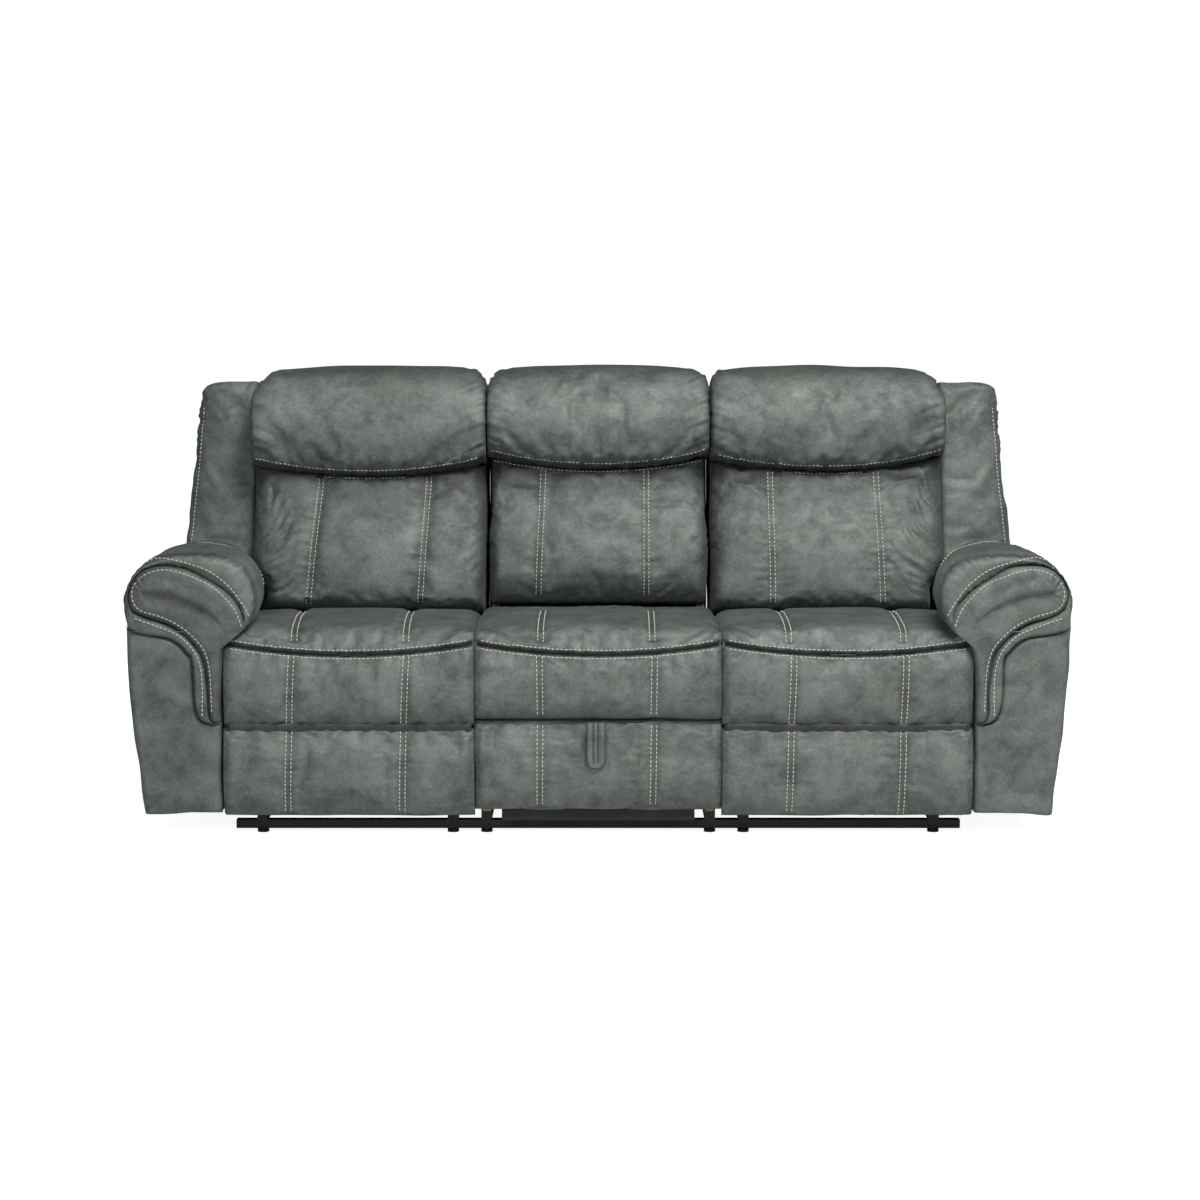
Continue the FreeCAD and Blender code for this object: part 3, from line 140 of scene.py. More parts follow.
def suede_cloth():
    material, tree, shader = nodes_of("suede_cloth")
    clouds = ramp(tree, noise(tree, 9.5, 7.0, 0.68, (1.0, 1.0, 1.25), 0.4), [(0.38, 0.0), (0.62, 1.0)])
    patches = ramp(tree, noise(tree, 26.0, 6.0, 0.68, distortion=0.4), [(0.38, 0.0), (0.64, 1.0)])
    grain = noise(tree, 430.0, 3.0, 0.75)
    flecks = ramp(tree, noise(tree, 150.0, 5.0, 0.75), [(0.44, 0.0), (0.62, 1.0)])
    colour = mixed(tree, "MIX", clouds, (0.074, 0.088, 0.081), (0.182, 0.214, 0.196))
    warm = ramp(tree, noise(tree, 5.0, 3.0, 0.5, (1.0, 1.0, 1.6)), [(0.5, 0.0), (0.7, 0.4)])
    colour = mixed(tree, "MIX", warm, colour, (0.128, 0.128, 0.116))
    colour = mixed(tree, "MIX", ramp(tree, patches, [(0.0, 0.0), (1.0, 0.36)]), colour, (0.24, 0.276, 0.25))
    between_flecks = ramp(tree, flecks, [(0.0, 0.5), (1.0, 0.0)])
    colour = mixed(tree, "MULTIPLY", between_flecks, colour, (0.5, 0.51, 0.51))
    colour = mixed(tree, "MULTIPLY", 0.45, colour, ramp(tree, grain, [(0.3, 0.62), (0.7, 1.0)]))
    # Painted shade: a mesh attribute set by the covers darkens the cloth in seams, creases and gaps, under
    # the pillows and over the left arm's front.
    near = tree.nodes.new("ShaderNodeAttribute")
    near.attribute_name = "painted_shade"
    shade_share = ramp(tree, near.outputs["Fac"], [(0.0, 0.0), (1.0, 0.92)])
    colour = mixed(tree, "MULTIPLY", shade_share, colour, (0.14, 0.14, 0.15))
    # Painted shade: the cloth is darkened where its surface turns away from the view, so its rims and tops
    # seen edge-on go dark.
    turned = tree.nodes.new("ShaderNodeLayerWeight").outputs["Facing"]
    grazing_shade = ramp(tree, turned, [(0.0, 1.0), (0.3, 0.95), (0.7, 0.7), (1.0, 0.45)])
    colour = mixed(tree, "MULTIPLY", 1.0, colour, grazing_shade)
    tree.links.new(colour, shader.inputs["Base Color"])
    tree.links.new(ramp(tree, patches, [(0.0, 0.66), (1.0, 0.47)]), shader.inputs["Roughness"])
    shader.inputs["Sheen Weight"].default_value = 0.1
    shader.inputs["Sheen Roughness"].default_value = 0.45
    shader.inputs["Sheen Tint"].default_value = (0.82, 0.88, 0.86, 1.0)
    shader.inputs["Specular IOR Level"].default_value = 0.55
    rough = noise(tree, 60.0, 4.0, 0.6)
    bumped(tree, shader, [(grain, 0.4, 0.0006), (flecks, 0.25, 0.0009), (rough, 0.3, 0.0016)])
    return material


suede = suede_cloth()


# Covers: every padded piece starts as a grid of points, from which its cloth
# is laid; the helpers here give smooth outlines, rounded ends and the mesh.
SHARED_EDGE = 0.00005
FLAT_SIDE = 0.0018
FAR_IN_FRONT = -0.6
DARKEST_SEAM_DEPTH = 0.01


def smooth_path(points, count, closed=False):
    """Evenly spaced points, by length, on a Catmull-Rom spline through the corners."""
    corners = np.array(points, float)
    if closed:
        before, after, later = (np.roll(corners, shift, axis=0) for shift in (1, -1, -2))
        here = corners
    else:
        first = 2 * corners[0] - corners[1]
        last = 2 * corners[-1] - corners[-2]
        line = np.vstack([first, corners, last])
        before, here, after, later = line[:-3], line[1:-2], line[2:-1], line[3:]
    t = np.linspace(0.0, 1.0, 24, endpoint=False)[:, None]
    before, here, after, later = (part[:, None, :] for part in (before, here, after, later))
    path = 0.5 * (
        2 * here
        + (after - before) * t
        + (2 * before - 5 * here + 4 * after - later) * t**2
        + (3 * here - before - 3 * after + later) * t**3
    ).reshape(-1, corners.shape[1])
    path = np.vstack([path, path[:1] if closed else corners[-1:]])
    lengths = np.concatenate([[0.0], np.cumsum(np.linalg.norm(np.diff(path, axis=0), axis=1))])
    places = np.linspace(0.0, lengths[-1], count, endpoint=not closed)
    return np.stack([np.interp(places, lengths, path[:, k]) for k in range(path.shape[1])], axis=1)


def stations(start, end, first_shoulder, last_shoulder, step):
    """Places from start to end and how far each outline is drawn in there.

    Near an end the place follows one minus the cosine, and the draw one minus
    the sine, of an angle that runs over a quarter turn: a quarter ellipse.
    """
    angle = np.linspace(0.0, math.pi / 2, 9)
    first = start + first_shoulder * (1 - np.cos(angle))
    last = end - last_shoulder * (1 - np.cos(angle))
    count = max(2, int((last[-1] - first[-1]) / step))
    middle = np.linspace(first[-1], last[-1], count + 1)[1:-1]
    places = np.concatenate([first, middle, last[::-1]])
    draw = np.concatenate([1 - np.sin(angle), np.zeros(len(middle)), (1 - np.sin(angle))[::-1]])
    return places, draw


def cloth_mesh(name, points, faces, material=suede):
    """A smooth-shaded mesh object from an array of points and an array of faces."""
    mesh = bpy.data.meshes.new(name)
    mesh.from_pydata(points.tolist(), [], faces)
    mesh.polygons.foreach_set("use_smooth", np.ones(len(mesh.polygons), bool))
    mesh.materials.append(material)
    mesh.update()
    piece = bpy.data.objects.new(name, mesh)
    bpy.context.scene.collection.objects.link(piece)
    return piece


def face_out(piece, weld=0.0):
    """Merge points closer than weld and turn all faces outwards."""
    work = bmesh.new()
    work.from_mesh(piece.data)
    if weld:
        bmesh.ops.remove_doubles(work, verts=work.verts, dist=weld)
    bmesh.ops.recalc_face_normals(work, faces=work.faces)
    work.to_mesh(piece.data)
    work.free()
    piece.data.update()
    return piece


def grid_faces(rows, columns, wrap=False):
    """The quads between neighbouring points of a grid; wrap joins its last column to its first."""
    last = columns if wrap else columns - 1
    row, column = np.meshgrid(np.arange(rows - 1), np.arange(last), indexing="ij")
    low = row * columns + column
    beside = row * columns + (column + 1) % columns
    return np.stack([low, beside, beside + columns, low + columns], -1).reshape(-1, 4)


def closed_form(name, loops):
    """A closed piece from a stack of loops (stations, around, 3), each end gathered to its middle."""
    rows, around, _ = loops.shape
    ends = np.stack([loops[0].mean(axis=0), loops[-1].mean(axis=0)])
    points = np.vstack([loops.reshape(-1, 3), ends])
    faces = grid_faces(rows, around, wrap=True).tolist()
    last = (rows - 1) * around
    for k in range(around):
        faces.append([k, (k + 1) % around, rows * around])
        faces.append([last + (k + 1) % around, last + k, rows * around + 1])
    return face_out(cloth_mesh(name, points, faces))


def envelope(name, front, back):
    """A closed piece from a front and a back grid (rows, columns, 3) that share their four edges."""
    rows, columns, _ = front.shape
    quads = grid_faces(rows, columns)
    faces = np.vstack([quads, quads[:, ::-1] + rows * columns])
    points = np.vstack([front.reshape(-1, 3), back.reshape(-1, 3)])
    return face_out(cloth_mesh(name, points, faces.tolist()), SHARED_EDGE)


def vertices(piece):
    """A piece's points and outward normals as arrays."""
    mesh = piece.data
    points = np.zeros(len(mesh.vertices) * 3)
    normals = np.zeros(len(mesh.vertices) * 3)
    mesh.vertices.foreach_get("co", points)
    mesh.vertices.foreach_get("normal", normals)
    return points.reshape(-1, 3), normals.reshape(-1, 3)


def move(piece, points):
    """Put an array of points back into the piece's mesh."""
    piece.data.vertices.foreach_set("co", points.astype(np.float32).ravel())
    piece.data.update()


def push(piece, shift):
    """Move every point outwards by its own distance."""
    points, normals = vertices(piece)
    move(piece, points + normals * shift[:, None])


def in_front(x, z):
    """Points at the given places across and heights, out in front of the sofa."""
    x, z = np.broadcast_arrays(x, z)
    return np.column_stack([x, np.full(len(x), FAR_IN_FRONT), z])


def tree_of(piece):
    """A search tree over the piece's faces."""
    points, _ = vertices(piece)
    faces = [tuple(face.vertices) for face in piece.data.polygons]
    return BVHTree.FromPolygons([Vector(point) for point in points], faces)


def landed(tree, path, direction):
    """Where lines along direction from each point of the path first meet the cloth, and the normals there."""
    hits = []
    normals = []
    way = Vector(direction)
    for point in path:
        place, normal, _, _ = tree.ray_cast(Vector(point) - way * 0.5, way)
        if place is None:
            place, normal, _, _ = tree.find_nearest(Vector(point))
        hits.append(place)
        normals.append(-normal if normal.dot(way) > 0 else normal)
    return np.array(hits), np.array(normals)


def distance_to(points, path):
    """Each point's distance to a path of straight runs, and its nearest place as a share of the path."""
    best = np.full(len(points), 1e9)
    share = np.zeros(len(points))
    runs = np.linalg.norm(np.diff(path, axis=0), axis=1)
    before = np.concatenate([[0.0], np.cumsum(runs)])
    for k, run in enumerate(runs):
        if run < 1e-9:
            continue
        way = (path[k + 1] - path[k]) / run
        along = np.clip((points - path[k]) @ way, 0.0, run)
        gap = np.linalg.norm(points - path[k] - along[:, None] * way, axis=1)
        nearer = gap < best
        best[nearer] = gap[nearer]
        share[nearer] = (before[k] + along[nearer]) / before[-1]
    return best, share


def waver(along, lengths, seed):
    """An uneven wave between about -1 and 1: a sum of sines of the given lengths with seeded phases."""
    phases = np.random.default_rng(seed).uniform(0, 2 * math.pi, len(lengths))
    total = sum(np.sin(2 * math.pi * along / length + phase) for length, phase in zip(lengths, phases))
    return total / math.sqrt(len(lengths))


def press_seams(piece, seams):
    """Press sewn lines into a pad, gather the cloth beside them and paint shade along them.

    Each seam is (path on the cloth, depth, half width, gather depth, gather
    reach, seed). Depth falls off as a bell curve of the distance, and the
    gathers are waves along the seam that fade with distance.
    """
    points, _ = vertices(piece)
    shift = np.zeros(len(points))
    shade = np.zeros(len(points))
    for path, depth, width, gather, reach, seed in seams:
        gap, share = distance_to(points, path)
        length = np.linalg.norm(np.diff(path, axis=0), axis=1).sum()
        shift -= depth * bell(gap, width)
        if gather:
            folds = waver(share * length, (0.021, 0.034, 0.055, 0.13), seed)
            shift += gather * folds * bell(gap, reach) * (1 - 0.6 * bell(gap, width))
        # Painted shade in the seam, darker the deeper it is pressed.
        shade = np.maximum(shade, min(1.0, depth / DARKEST_SEAM_DEPTH) * bell(gap, 0.9 * width))
    push(piece, shift)
    shaded(piece, shade)


def shaded(piece, shade):
    """Paint shade into the cloth's colour at each point, as a share from 0 to 1; the darkest share counts."""
    kept = piece.data.attributes
    attribute = kept.get("painted_shade") or kept.new("painted_shade", "FLOAT", "POINT")
    before = np.zeros(len(piece.data.vertices), np.float32)
    attribute.data.foreach_get("value", before)
    attribute.data.foreach_set("value", np.maximum(before, np.clip(shade, 0, 1)).astype(np.float32))


CLOTH_SETTINGS = {
    "quality": 5,
    "mass": 0.3,
    "air_damping": 4.0,
    "tension_stiffness": 15.0,
    "compression_stiffness": 8.0,
    "shear_stiffness": 4.0,
    "bending_stiffness": 0.25,
    "vertex_group_mass": "held",
    "use_pressure": True,
    "uniform_pressure_force": 1.6,
}
SETTLING_STEPS = 20
LEAST_HOLD = 0.01


def settled(grid, held, cap, excess, wrap=True):
    """Let a cover settle as cloth over its stuffing and return its grid moved.

    Every second row and column make a test sheet, a little larger than its
    form, that a light pressure fills while the held points stay put. Each
    point moves by cap times the hyperbolic tangent of its travel over cap.
    """
    rows = np.unique(np.append(np.arange(0, grid.shape[0], 2), grid.shape[0] - 1))
    columns = np.arange(0, grid.shape[1], 2)
    if not wrap:
        columns = np.unique(np.append(columns, grid.shape[1] - 1))
    coarse = grid[rows][:, columns]
    points = coarse.reshape(-1, 3)
    sheet = cloth_mesh("settling_cloth", points, grid_faces(*coarse.shape[:2], wrap).tolist())
    _, normals = vertices(sheet)
    outward = points - points.mean(axis=0) if wrap else np.broadcast_to([0.0, -1.0, 0.0], points.shape)
    if (normals * outward).sum() < 0:
        sheet.data.flip_normals()
    group = sheet.vertex_groups.new(name="held")
    weights = held(points)
    for index in np.nonzero(weights > LEAST_HOLD)[0].tolist():
        group.add([index], float(weights[index]), "REPLACE")
    cloth = sheet.modifiers.new("cloth", "CLOTH").settings
    for setting, value in CLOTH_SETTINGS.items():
        setattr(cloth, setting, value)
    cloth.effector_weights.gravity = 0.0
    cloth.shrink_min = -excess
    for step in range(1, SETTLING_STEPS + 1):
        bpy.context.scene.frame_set(step)
    result = np.zeros(len(points) * 3)
    sheet.evaluated_get(bpy.context.evaluated_depsgraph_get()).data.vertices.foreach_get("co", result)
    bpy.data.objects.remove(sheet)
    bpy.context.scene.frame_set(1)
    travel = result.reshape(-1, 3) - points
    length = np.linalg.norm(travel, axis=1)[:, None] + 1e-9
    travel = (travel / length * cap * np.tanh(length / cap)).reshape(coarse.shape)
    all_rows = np.arange(grid.shape[0])
    all_columns = np.arange(grid.shape[1])
    if wrap:
        travel = np.concatenate([travel, travel[:, :1]], axis=1)
        columns = np.append(columns, grid.shape[1])
    tall = np.apply_along_axis(lambda line: np.interp(all_rows, rows, line), 0, travel)
    return grid + np.apply_along_axis(lambda line: np.interp(all_columns, columns, line), 1, tall)


def side_gap(points, x0, x1):
    """How far in from the nearer of two sides each point lies."""
    return np.minimum(points[:, 0] - x0, x1 - points[:, 0])


def keep_between(piece, x0, x1):
    """Set a cover's sides flat at the given places, clear of its neighbours, and paint shade on the cloth
    there.
    """
    points, _ = vertices(piece)
    gap = side_gap(points, x0, x1)
    nearer = np.where(points[:, 0] < 0.5 * (x0 + x1), x0, x1)
    points[:, 0] = np.where(gap < FLAT_SIDE, nearer, points[:, 0])
    move(piece, points)
    shaded(piece, 0.3 * bell(np.maximum(gap, 0), 0.016))


def dress(piece, fill, body, *nodes):
    """Say which CAD pieces a cover stands for and which body carries it; fill is not used."""
    if nodes:
        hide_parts(*nodes)
    if body:
        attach(piece, body)


def bell(gap, reach):
    """A bell curve: the exponential of minus the square of gap over reach."""
    return np.exp(-((gap / reach) ** 2))


def eased(share):
    """A share kept between 0 and 1 and levelled at both: three times its square less twice its cube."""
    share = np.clip(share, 0, 1)
    return share * share * (3 - 2 * share)


def away(gap, reach):
    """1 at a held line, falling smoothly to 0 at reach from it."""
    return eased(1 - gap / reach)


def sewn(points, lines):
    """How firmly panel seams hold the cloth: 0.9 on a line, given as its x at every point, 0 at 20 mm."""
    return 0.9 * np.maximum.reduce([away(np.abs(points[:, 0] - line), 0.02) for line in lines])


def crease(piece, creases):
    """Press narrow tapering folds into a pad: each is (path, depth, half width)."""
    points, _ = vertices(piece)
    shift = np.zeros(len(points))
    for path, depth, width in creases:
        gap, share = distance_to(points, path)
        taper = np.sin(math.pi * np.clip(share, 0.02, 0.98)) ** 0.7
        shift += depth * taper * (0.6 * bell(gap - 1.9 * width, width) - bell(gap, width))
    push(piece, shift)


def unevenness(piece, height, scale, seed):
    """Swell and sink the stuffing gently: a sum of seeded plane waves over the piece."""
    points, _ = vertices(piece)
    random = np.random.default_rng(seed)
    total = np.zeros(len(points))
    for _ in range(9):
        way = random.normal(size=3)
        way *= random.uniform(0.6, 1.6) / (np.linalg.norm(way) * scale)
        total += np.sin(2 * math.pi * points @ way + random.uniform(0, 2 * math.pi))
    push(piece, height * total / 3.0)


# Thread: thick waxed polyester topstitching, cream, about ten millimetres a
# stitch; every stitch lies in the cloth and dips into it at both ends.
STITCH_PITCH = 0.0102
STITCH_LENGTH = 0.0076
THREAD_RADIUS = 0.00125


def thread_material():
    material, tree, shader = nodes_of("topstitch_thread")
    twist = noise(tree, 900.0, 2.0, 0.5)
    cream = ramp(tree, twist, [(0.3, (0.42, 0.42, 0.38)), (0.7, (0.66, 0.65, 0.59))])
    tree.links.new(cream, shader.inputs["Base Color"])
    shader.inputs["Roughness"].default_value = 0.6
    shader.inputs["Sheen Weight"].default_value = 0.2
    bumped(tree, shader, [(twist, 0.4, 0.0004)])
    return material


thread = thread_material()


def stitch_row(tree, path, direction):
    """Starts, ends and normals of the stitches of one row laid along a path."""
    runs = np.linalg.norm(np.diff(path, axis=0), axis=1)
    length = np.concatenate([[0.0], np.cumsum(runs)])
    starts = np.arange(0.2 * STITCH_PITCH, length[-1] - STITCH_LENGTH, STITCH_PITCH)
    ends = []
    for places in (starts, starts + STITCH_LENGTH):
        line = np.stack([np.interp(places, length, path[:, k]) for k in range(3)], axis=1)
        ends.append(landed(tree, line, direction))
    (first, first_normal), (last, last_normal) = ends
    keep = np.linalg.norm(last - first, axis=1) < 1.6 * STITCH_LENGTH
    return first[keep], last[keep], (first_normal + last_normal)[keep]


def stitches(name, rows):
    """One mesh of all stitches: each is a short round bar of four rings whose ends sink into the cloth."""
    first, last, normal = (np.vstack([row[k] for row in rows]) for k in range(3))
    normal /= np.linalg.norm(normal, axis=1)[:, None]
    along = last - first
    side = np.cross(along, normal)
    side /= np.linalg.norm(side, axis=1)[:, None]
    around = 6
    angle = (np.arange(around) * 2 * math.pi / around)[None, :, None]
    spread = np.cos(angle) * side[:, None, :] + np.sin(angle) * normal[:, None, :]
    rings = []
    for share, size, lift in ((0.0, 0.45, -0.35), (0.22, 1.0, 0.45), (0.78, 1.0, 0.45), (1.0, 0.45, -0.35)):
        middle = first + share * along + lift * THREAD_RADIUS * normal
        rings.append(middle[:, None, :] + size * THREAD_RADIUS * spread)
    points = np.stack(rings, axis=1).reshape(-1, 3)
    base = (np.arange(len(first)) * 4 * around)[:, None, None]
    ring, spoke = np.meshgrid(np.arange(3), np.arange(around), indexing="ij")
    low = ring * around + spoke
    high = ring * around + (spoke + 1) % around
    quads = np.stack([low, high, high + around, low + around], -1).reshape(1, -1, 4) + base
    faces = quads.reshape(-1, 4).tolist()
    caps = np.arange(around)
    for offset in (np.arange(len(first)) * 4 * around).tolist():
        faces.append((caps[::-1] + offset).tolist())
        faces.append((caps + 3 * around + offset).tolist())
    piece = cloth_mesh(name, points, faces, thread)
    return piece


def double_rows(tree, paths, direction, spacing):
    """Two stitch rows for each path, one on each side of it."""
    offset = np.array([0.5 * spacing, 0.0, 0.0])
    return [stitch_row(tree, path + way * offset, direction) for path in paths for way in (-1, 1)]


# Seats: foam cushions wrapped in one cover that turns over the front edge,
# dips into a sewn channel and runs down the front flap; two double-stitched
# seams divide each into three panels.
SEAT_INNER_X = 0.2863
MIDDLE_HALF = 0.2857
SEAT_OUTER_X = 0.864
CREASE_Z = 0.263
ROW_SPACING = 0.013
FRONT_EDGE = -0.46
INTO = (0.0, 1.0, 0.0)
DOWN = (0.0, 0.0, -1.0)


def channel_height(x, middle, half):
    """The channel's height across a seat: it sags 26 mm from the sides to the middle."""
    return 0.433 + 0.026 * np.clip(np.abs(x - middle) / half, 0, 1) ** 2


def seat_outline(x, draw, middle, half, bottom):
    """The side outline of a seat cover at x, with its front run down to bottom."""
    inset = 0.011 * draw
    beside_arm = (x - middle) * middle > 0 and abs(middle) > 0.1
    drop = (0.034 if beside_arm else 0.017) * draw
    tuck = 0.0 if abs(middle) > 0.1 else 0.022
    seam = float(channel_height(x, middle, half)) - (0.012 * draw**2 if beside_arm else 0.0)
    face = -0.4895 + inset
    crown = 0.006 * (1 - min(1.0, abs(x - middle) / half) ** 2)
    return [
        (0.15, 0.352), (-0.28, 0.36), (-0.405, 0.405), (-0.4425, 0.4), (-0.4425, bottom + 0.03),
        (-0.443, bottom + 0.004), (-0.46, bottom + 0.0005), (face + 0.02, bottom + 0.003),
        (face + 0.011, bottom + 0.0075), (face + 0.004, bottom + 0.026),
        (face - 0.005, 0.5 * (bottom + seam) - 0.018), (face - 0.006, seam - 0.05),
        (face + 0.0035, seam - 0.018), (face + 0.011, seam), (face + 0.0165, seam + 0.015),
        (face + 0.03, seam + 0.028 - 0.4 * drop), (-0.43 + inset, 0.486 - drop),
        (-0.33, 0.4905 + crown - drop), (-0.18, 0.492 + crown - drop),
        (-0.04, 0.484 + crown - drop), (0.056, 0.474 + 0.3 * tuck - drop),
        (0.144, 0.456 + tuck - drop), (0.154, 0.42),
    ]


def make_seat(name, x0, x1, bottom, columns, seed):
    """A seat cover with its channel and panel seams pressed in; returns the piece and its stitch rows."""
    middle = 0.5 * (x0 + x1)
    half = 0.5 * (x1 - x0)
    places, draws = stations(x0, x1, 0.03, 0.03, 0.0075)
    loops = []
    for x, draw in zip(places, draws):
        loop = smooth_path(seat_outline(x, draw, middle, half, bottom), 2600, closed=True)
        near = bell(loop[:, 1] - channel_height(x, middle, half), 0.018) * (loop[:, 0] < FRONT_EDGE)
        weight = np.cumsum(1 + 4 * near)
        chosen = np.searchsorted(weight, np.linspace(weight[0], weight[-1], 290))
        loop = loop[chosen]
        loops.append(np.column_stack([np.full(len(loop), x), loop]))

    def held(points):
        x, y, z = points.T
        front = y < FRONT_EDGE
        channel = away(np.abs(z - channel_height(x, middle, half)), 0.02) * front
        back = (y - FRONT_EDGE) / 0.5
        lines = [np.where(front, low_x, top_x + (end_x - top_x) * back) for end_x, top_x, low_x, _ in columns]
        seams = sewn(points, lines)
        under = ((z < 0.445) & (y > -0.455) | (y > 0.1) | (z < bottom + 0.006)).astype(float)
        return np.maximum.reduce([away(side_gap(points, x0, x1), 0.014), channel, seams, under])

    piece = closed_form(name, settled(np.array(loops), held, 0.0065, 0.03))
    unevenness(piece, 0.001, 0.2, seed)

    tree = tree_of(piece)
    across = np.linspace(x0 + 0.004, x1 - 0.004, 60)
    channel_path, _ = landed(tree, in_front(across, channel_height(across, middle, half)), INTO)
    seams = [(channel_path, 0.0125, 0.005, 0.0014, 0.028, seed + 1)]
    column_lines = []
    for back_x, top_x, front_x, low_x in columns:
        top = smooth_path([(back_x, 0.03), (0.5 * (back_x + top_x), -0.22), (top_x, -0.462)], 30)
        line = np.column_stack([top, np.full(30, 0.6)])
        top_path, _ = landed(tree, line, DOWN)
        rise = np.linspace(channel_height(front_x, middle, half) - 0.008, bottom + 0.006, 30)
        share = np.linspace(0, 1, 30)
        front_path, _ = landed(tree, in_front(front_x + (low_x - front_x) * share, rise), INTO)
        column_lines.append((top_path, front_path))
        seams.append((top_path, 0.0045, 0.013, 0.001, 0.05, seed + 2))
        seams.append((front_path, 0.0045, 0.013, 0.001, 0.05, seed + 3))
    press_seams(piece, seams)
    keep_between(piece, x0, x1)
    # Painted shade: the flap darkens towards its foot, in the crease above the footrest.
    shaded(piece, 0.36 * bell(vertices(piece)[0][:, 2] - bottom, 0.04))

    tree = tree_of(piece)
    rows = []
    for lift in (0.01, -0.01):
        line = channel_path + np.array([0.0, 0.0, lift])
        rows.append(stitch_row(tree, line[1:-1], (0.0, 0.89, -0.45) if lift > 0 else INTO))
    for top_path, front_path in column_lines:
        rows += double_rows(tree, [top_path], DOWN, ROW_SPACING)
        rows += double_rows(tree, [front_path], INTO, ROW_SPACING)
    return piece, rows


# measured places of the panel seams: back, front edge, below the channel, foot
LEFT_SEAMS = [(-0.724, -0.702, -0.707, -0.714), (-0.457, -0.444, -0.4425, -0.45)]
RIGHT_SEAMS = [(0.442, 0.44, 0.4515, 0.446), (0.716, 0.705, 0.71, 0.705)]
MIDDLE_SEAMS = [(-0.1345, -0.1335, -0.1355, -0.134), (0.129, 0.1245, 0.13, 0.128)]
SIDES = (("left", -1, LEFT_SEAMS), ("right", 1, RIGHT_SEAMS))

for side, sign, seam_places in SIDES:
    ends = sorted((sign * SEAT_INNER_X, sign * SEAT_OUTER_X))
    seat, rows = make_seat(f"{side}_seat_cover", *ends, CREASE_Z - 0.0005, seam_places, 11 + sign)
    dress(seat, 0.85, None, f"{side}_seat_cushion", f"{side}_flap_pad")
    threads = stitches(f"{side}_seat_stitches", rows)
    for piece in (seat, threads):
        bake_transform(piece, f"{side}_seat", f"{side}_flap", start=(0, -0.44, 0.468), end=(0, -0.492, 0.41))

seat, rows = make_seat("middle_seat_cover", -MIDDLE_HALF, MIDDLE_HALF, 0.2795, MIDDLE_SEAMS, 31)
dress(seat, 0.85, "base", "middle_seat_cushion")
threads = stitches("middle_seat_stitches", rows)
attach(threads, "base")
for piece in (seat, threads):
    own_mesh(piece)


# Footrest pads and the drawer front: foam on plywood under the same cloth,
# crowned and drawn in at the sides, with the panel seams carried down; the
# pull tab lies against the drawer front.
TAB_MIDDLE = -0.006
TAB_HALF = 0.0215
TAB_TIP = 0.169


def from_tab(points):
    """How far each point lies outside the pull tab's outline, seen from the front."""
    beside = np.hypot(points[:, 0] - TAB_MIDDLE, np.minimum(points[:, 2] - TAB_TIP - TAB_HALF, 0))
    return np.maximum(beside - TAB_HALF, 0)


def make_front_pad(name, x0, x1, low, high, back, face, columns, seed):
    """A front pad between two heights with its seams; returns the piece and its stitch rows."""
    places, draws = stations(x0, x1, 0.026, 0.026, 0.0075)
    loops = []
    for x, draw in zip(places, draws):
        inset = 0.011 * draw
        steps = [
            (back, low + 0.012), (back, high - 0.012), (back + 0.002, high - 0.001), (back - 0.014, high),
            (face + 0.018 + inset, high - 0.003), (face + 0.01 + inset, high - 0.0075),
            (face + 0.0025 + inset, high - 0.026), (face - 0.0055 + inset, high - 0.074),
            (face - 0.0035 + inset, low + 0.07), (face + 0.006 + inset, low + 0.026),
            (face + 0.017 + inset, low + 0.004 + 0.003 * draw), (back - 0.012, low + 0.002 * draw),
            (back + 0.001, low + 0.002),
        ]
        loop = smooth_path(steps, 160, closed=True)
        loops.append(np.column_stack([np.full(len(loop), x), loop]))

    def held(points):
        share = (points[:, 2] - low) / (high - low)
        seams = sewn(points, [low_x + (top_x - low_x) * share for top_x, low_x in columns])
        ends = away(side_gap(points, x0, x1), 0.014)
        edges = np.maximum(away(high - points[:, 2], 0.01), away(points[:, 2] - low, 0.006))
        inside = (points[:, 1] > back - 0.02).astype(float)
        return np.maximum.reduce([ends, seams, edges, away(from_tab(points), 0.06), inside])

    piece = closed_form(name, settled(np.array(loops), held, 0.008, 0.03))
    unevenness(piece, 0.001, 0.17, seed)
    tree = tree_of(piece)
    seams = []
    lines = []
    for top_x, low_x in columns:
        share = np.linspace(0, 1, 24)
        fall = high - 0.007 - (high - low - 0.01) * share
        path, _ = landed(tree, in_front(top_x + (low_x - top_x) * share, fall), INTO)
        lines.append(path)
        seams.append((path, 0.0045, 0.013, 0.001, 0.05, seed + 4))
    press_seams(piece, seams)
    gathers(piece, x0, x1, high)
    keep_between(piece, x0, x1)
    # Painted shade along the top and bottom edges of the pad, in the creases there.
    height = vertices(piece)[0][:, 2]
    shaded(piece, 0.32 * bell(height - high, 0.022))
    shaded(piece, 0.36 * bell(height - low, 0.035))
    return piece, double_rows(tree_of(piece), lines, INTO, ROW_SPACING)


def gathers(piece, x0, x1, high):
    """Short folds that run in from the two upper corners of a front pad."""
    folds = []
    for edge, inward in ((x0, 1), (x1, -1)):
        for k in range(4):
            start = (edge + inward * 0.006, -0.484, high - 0.01 - 0.008 * k)
            end = (edge + inward * (0.05 - 0.006 * k), -0.488, high - 0.016 - 0.013 * k)
            folds.append((np.array([start, end]), 0.0016, 0.0035))
    crease(piece, folds)


for side, sign, seam_places in SIDES:
    ends = sorted((sign * SEAT_INNER_X, sign * (SEAT_OUTER_X + 0.002)))
    columns = [(low_x, low_x - 0.004) for *_, low_x in seam_places]
    pad, rows = make_front_pad(
        f"{side}_footrest_cover", *ends, 0.056, CREASE_Z - 0.0005, -0.4425, -0.4885, columns, 51 + sign
    )
    dress(pad, 0.8, f"{side}_footrest", f"{side}_footrest_pad")
    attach(stitches(f"{side}_footrest_stitches", rows), f"{side}_footrest")

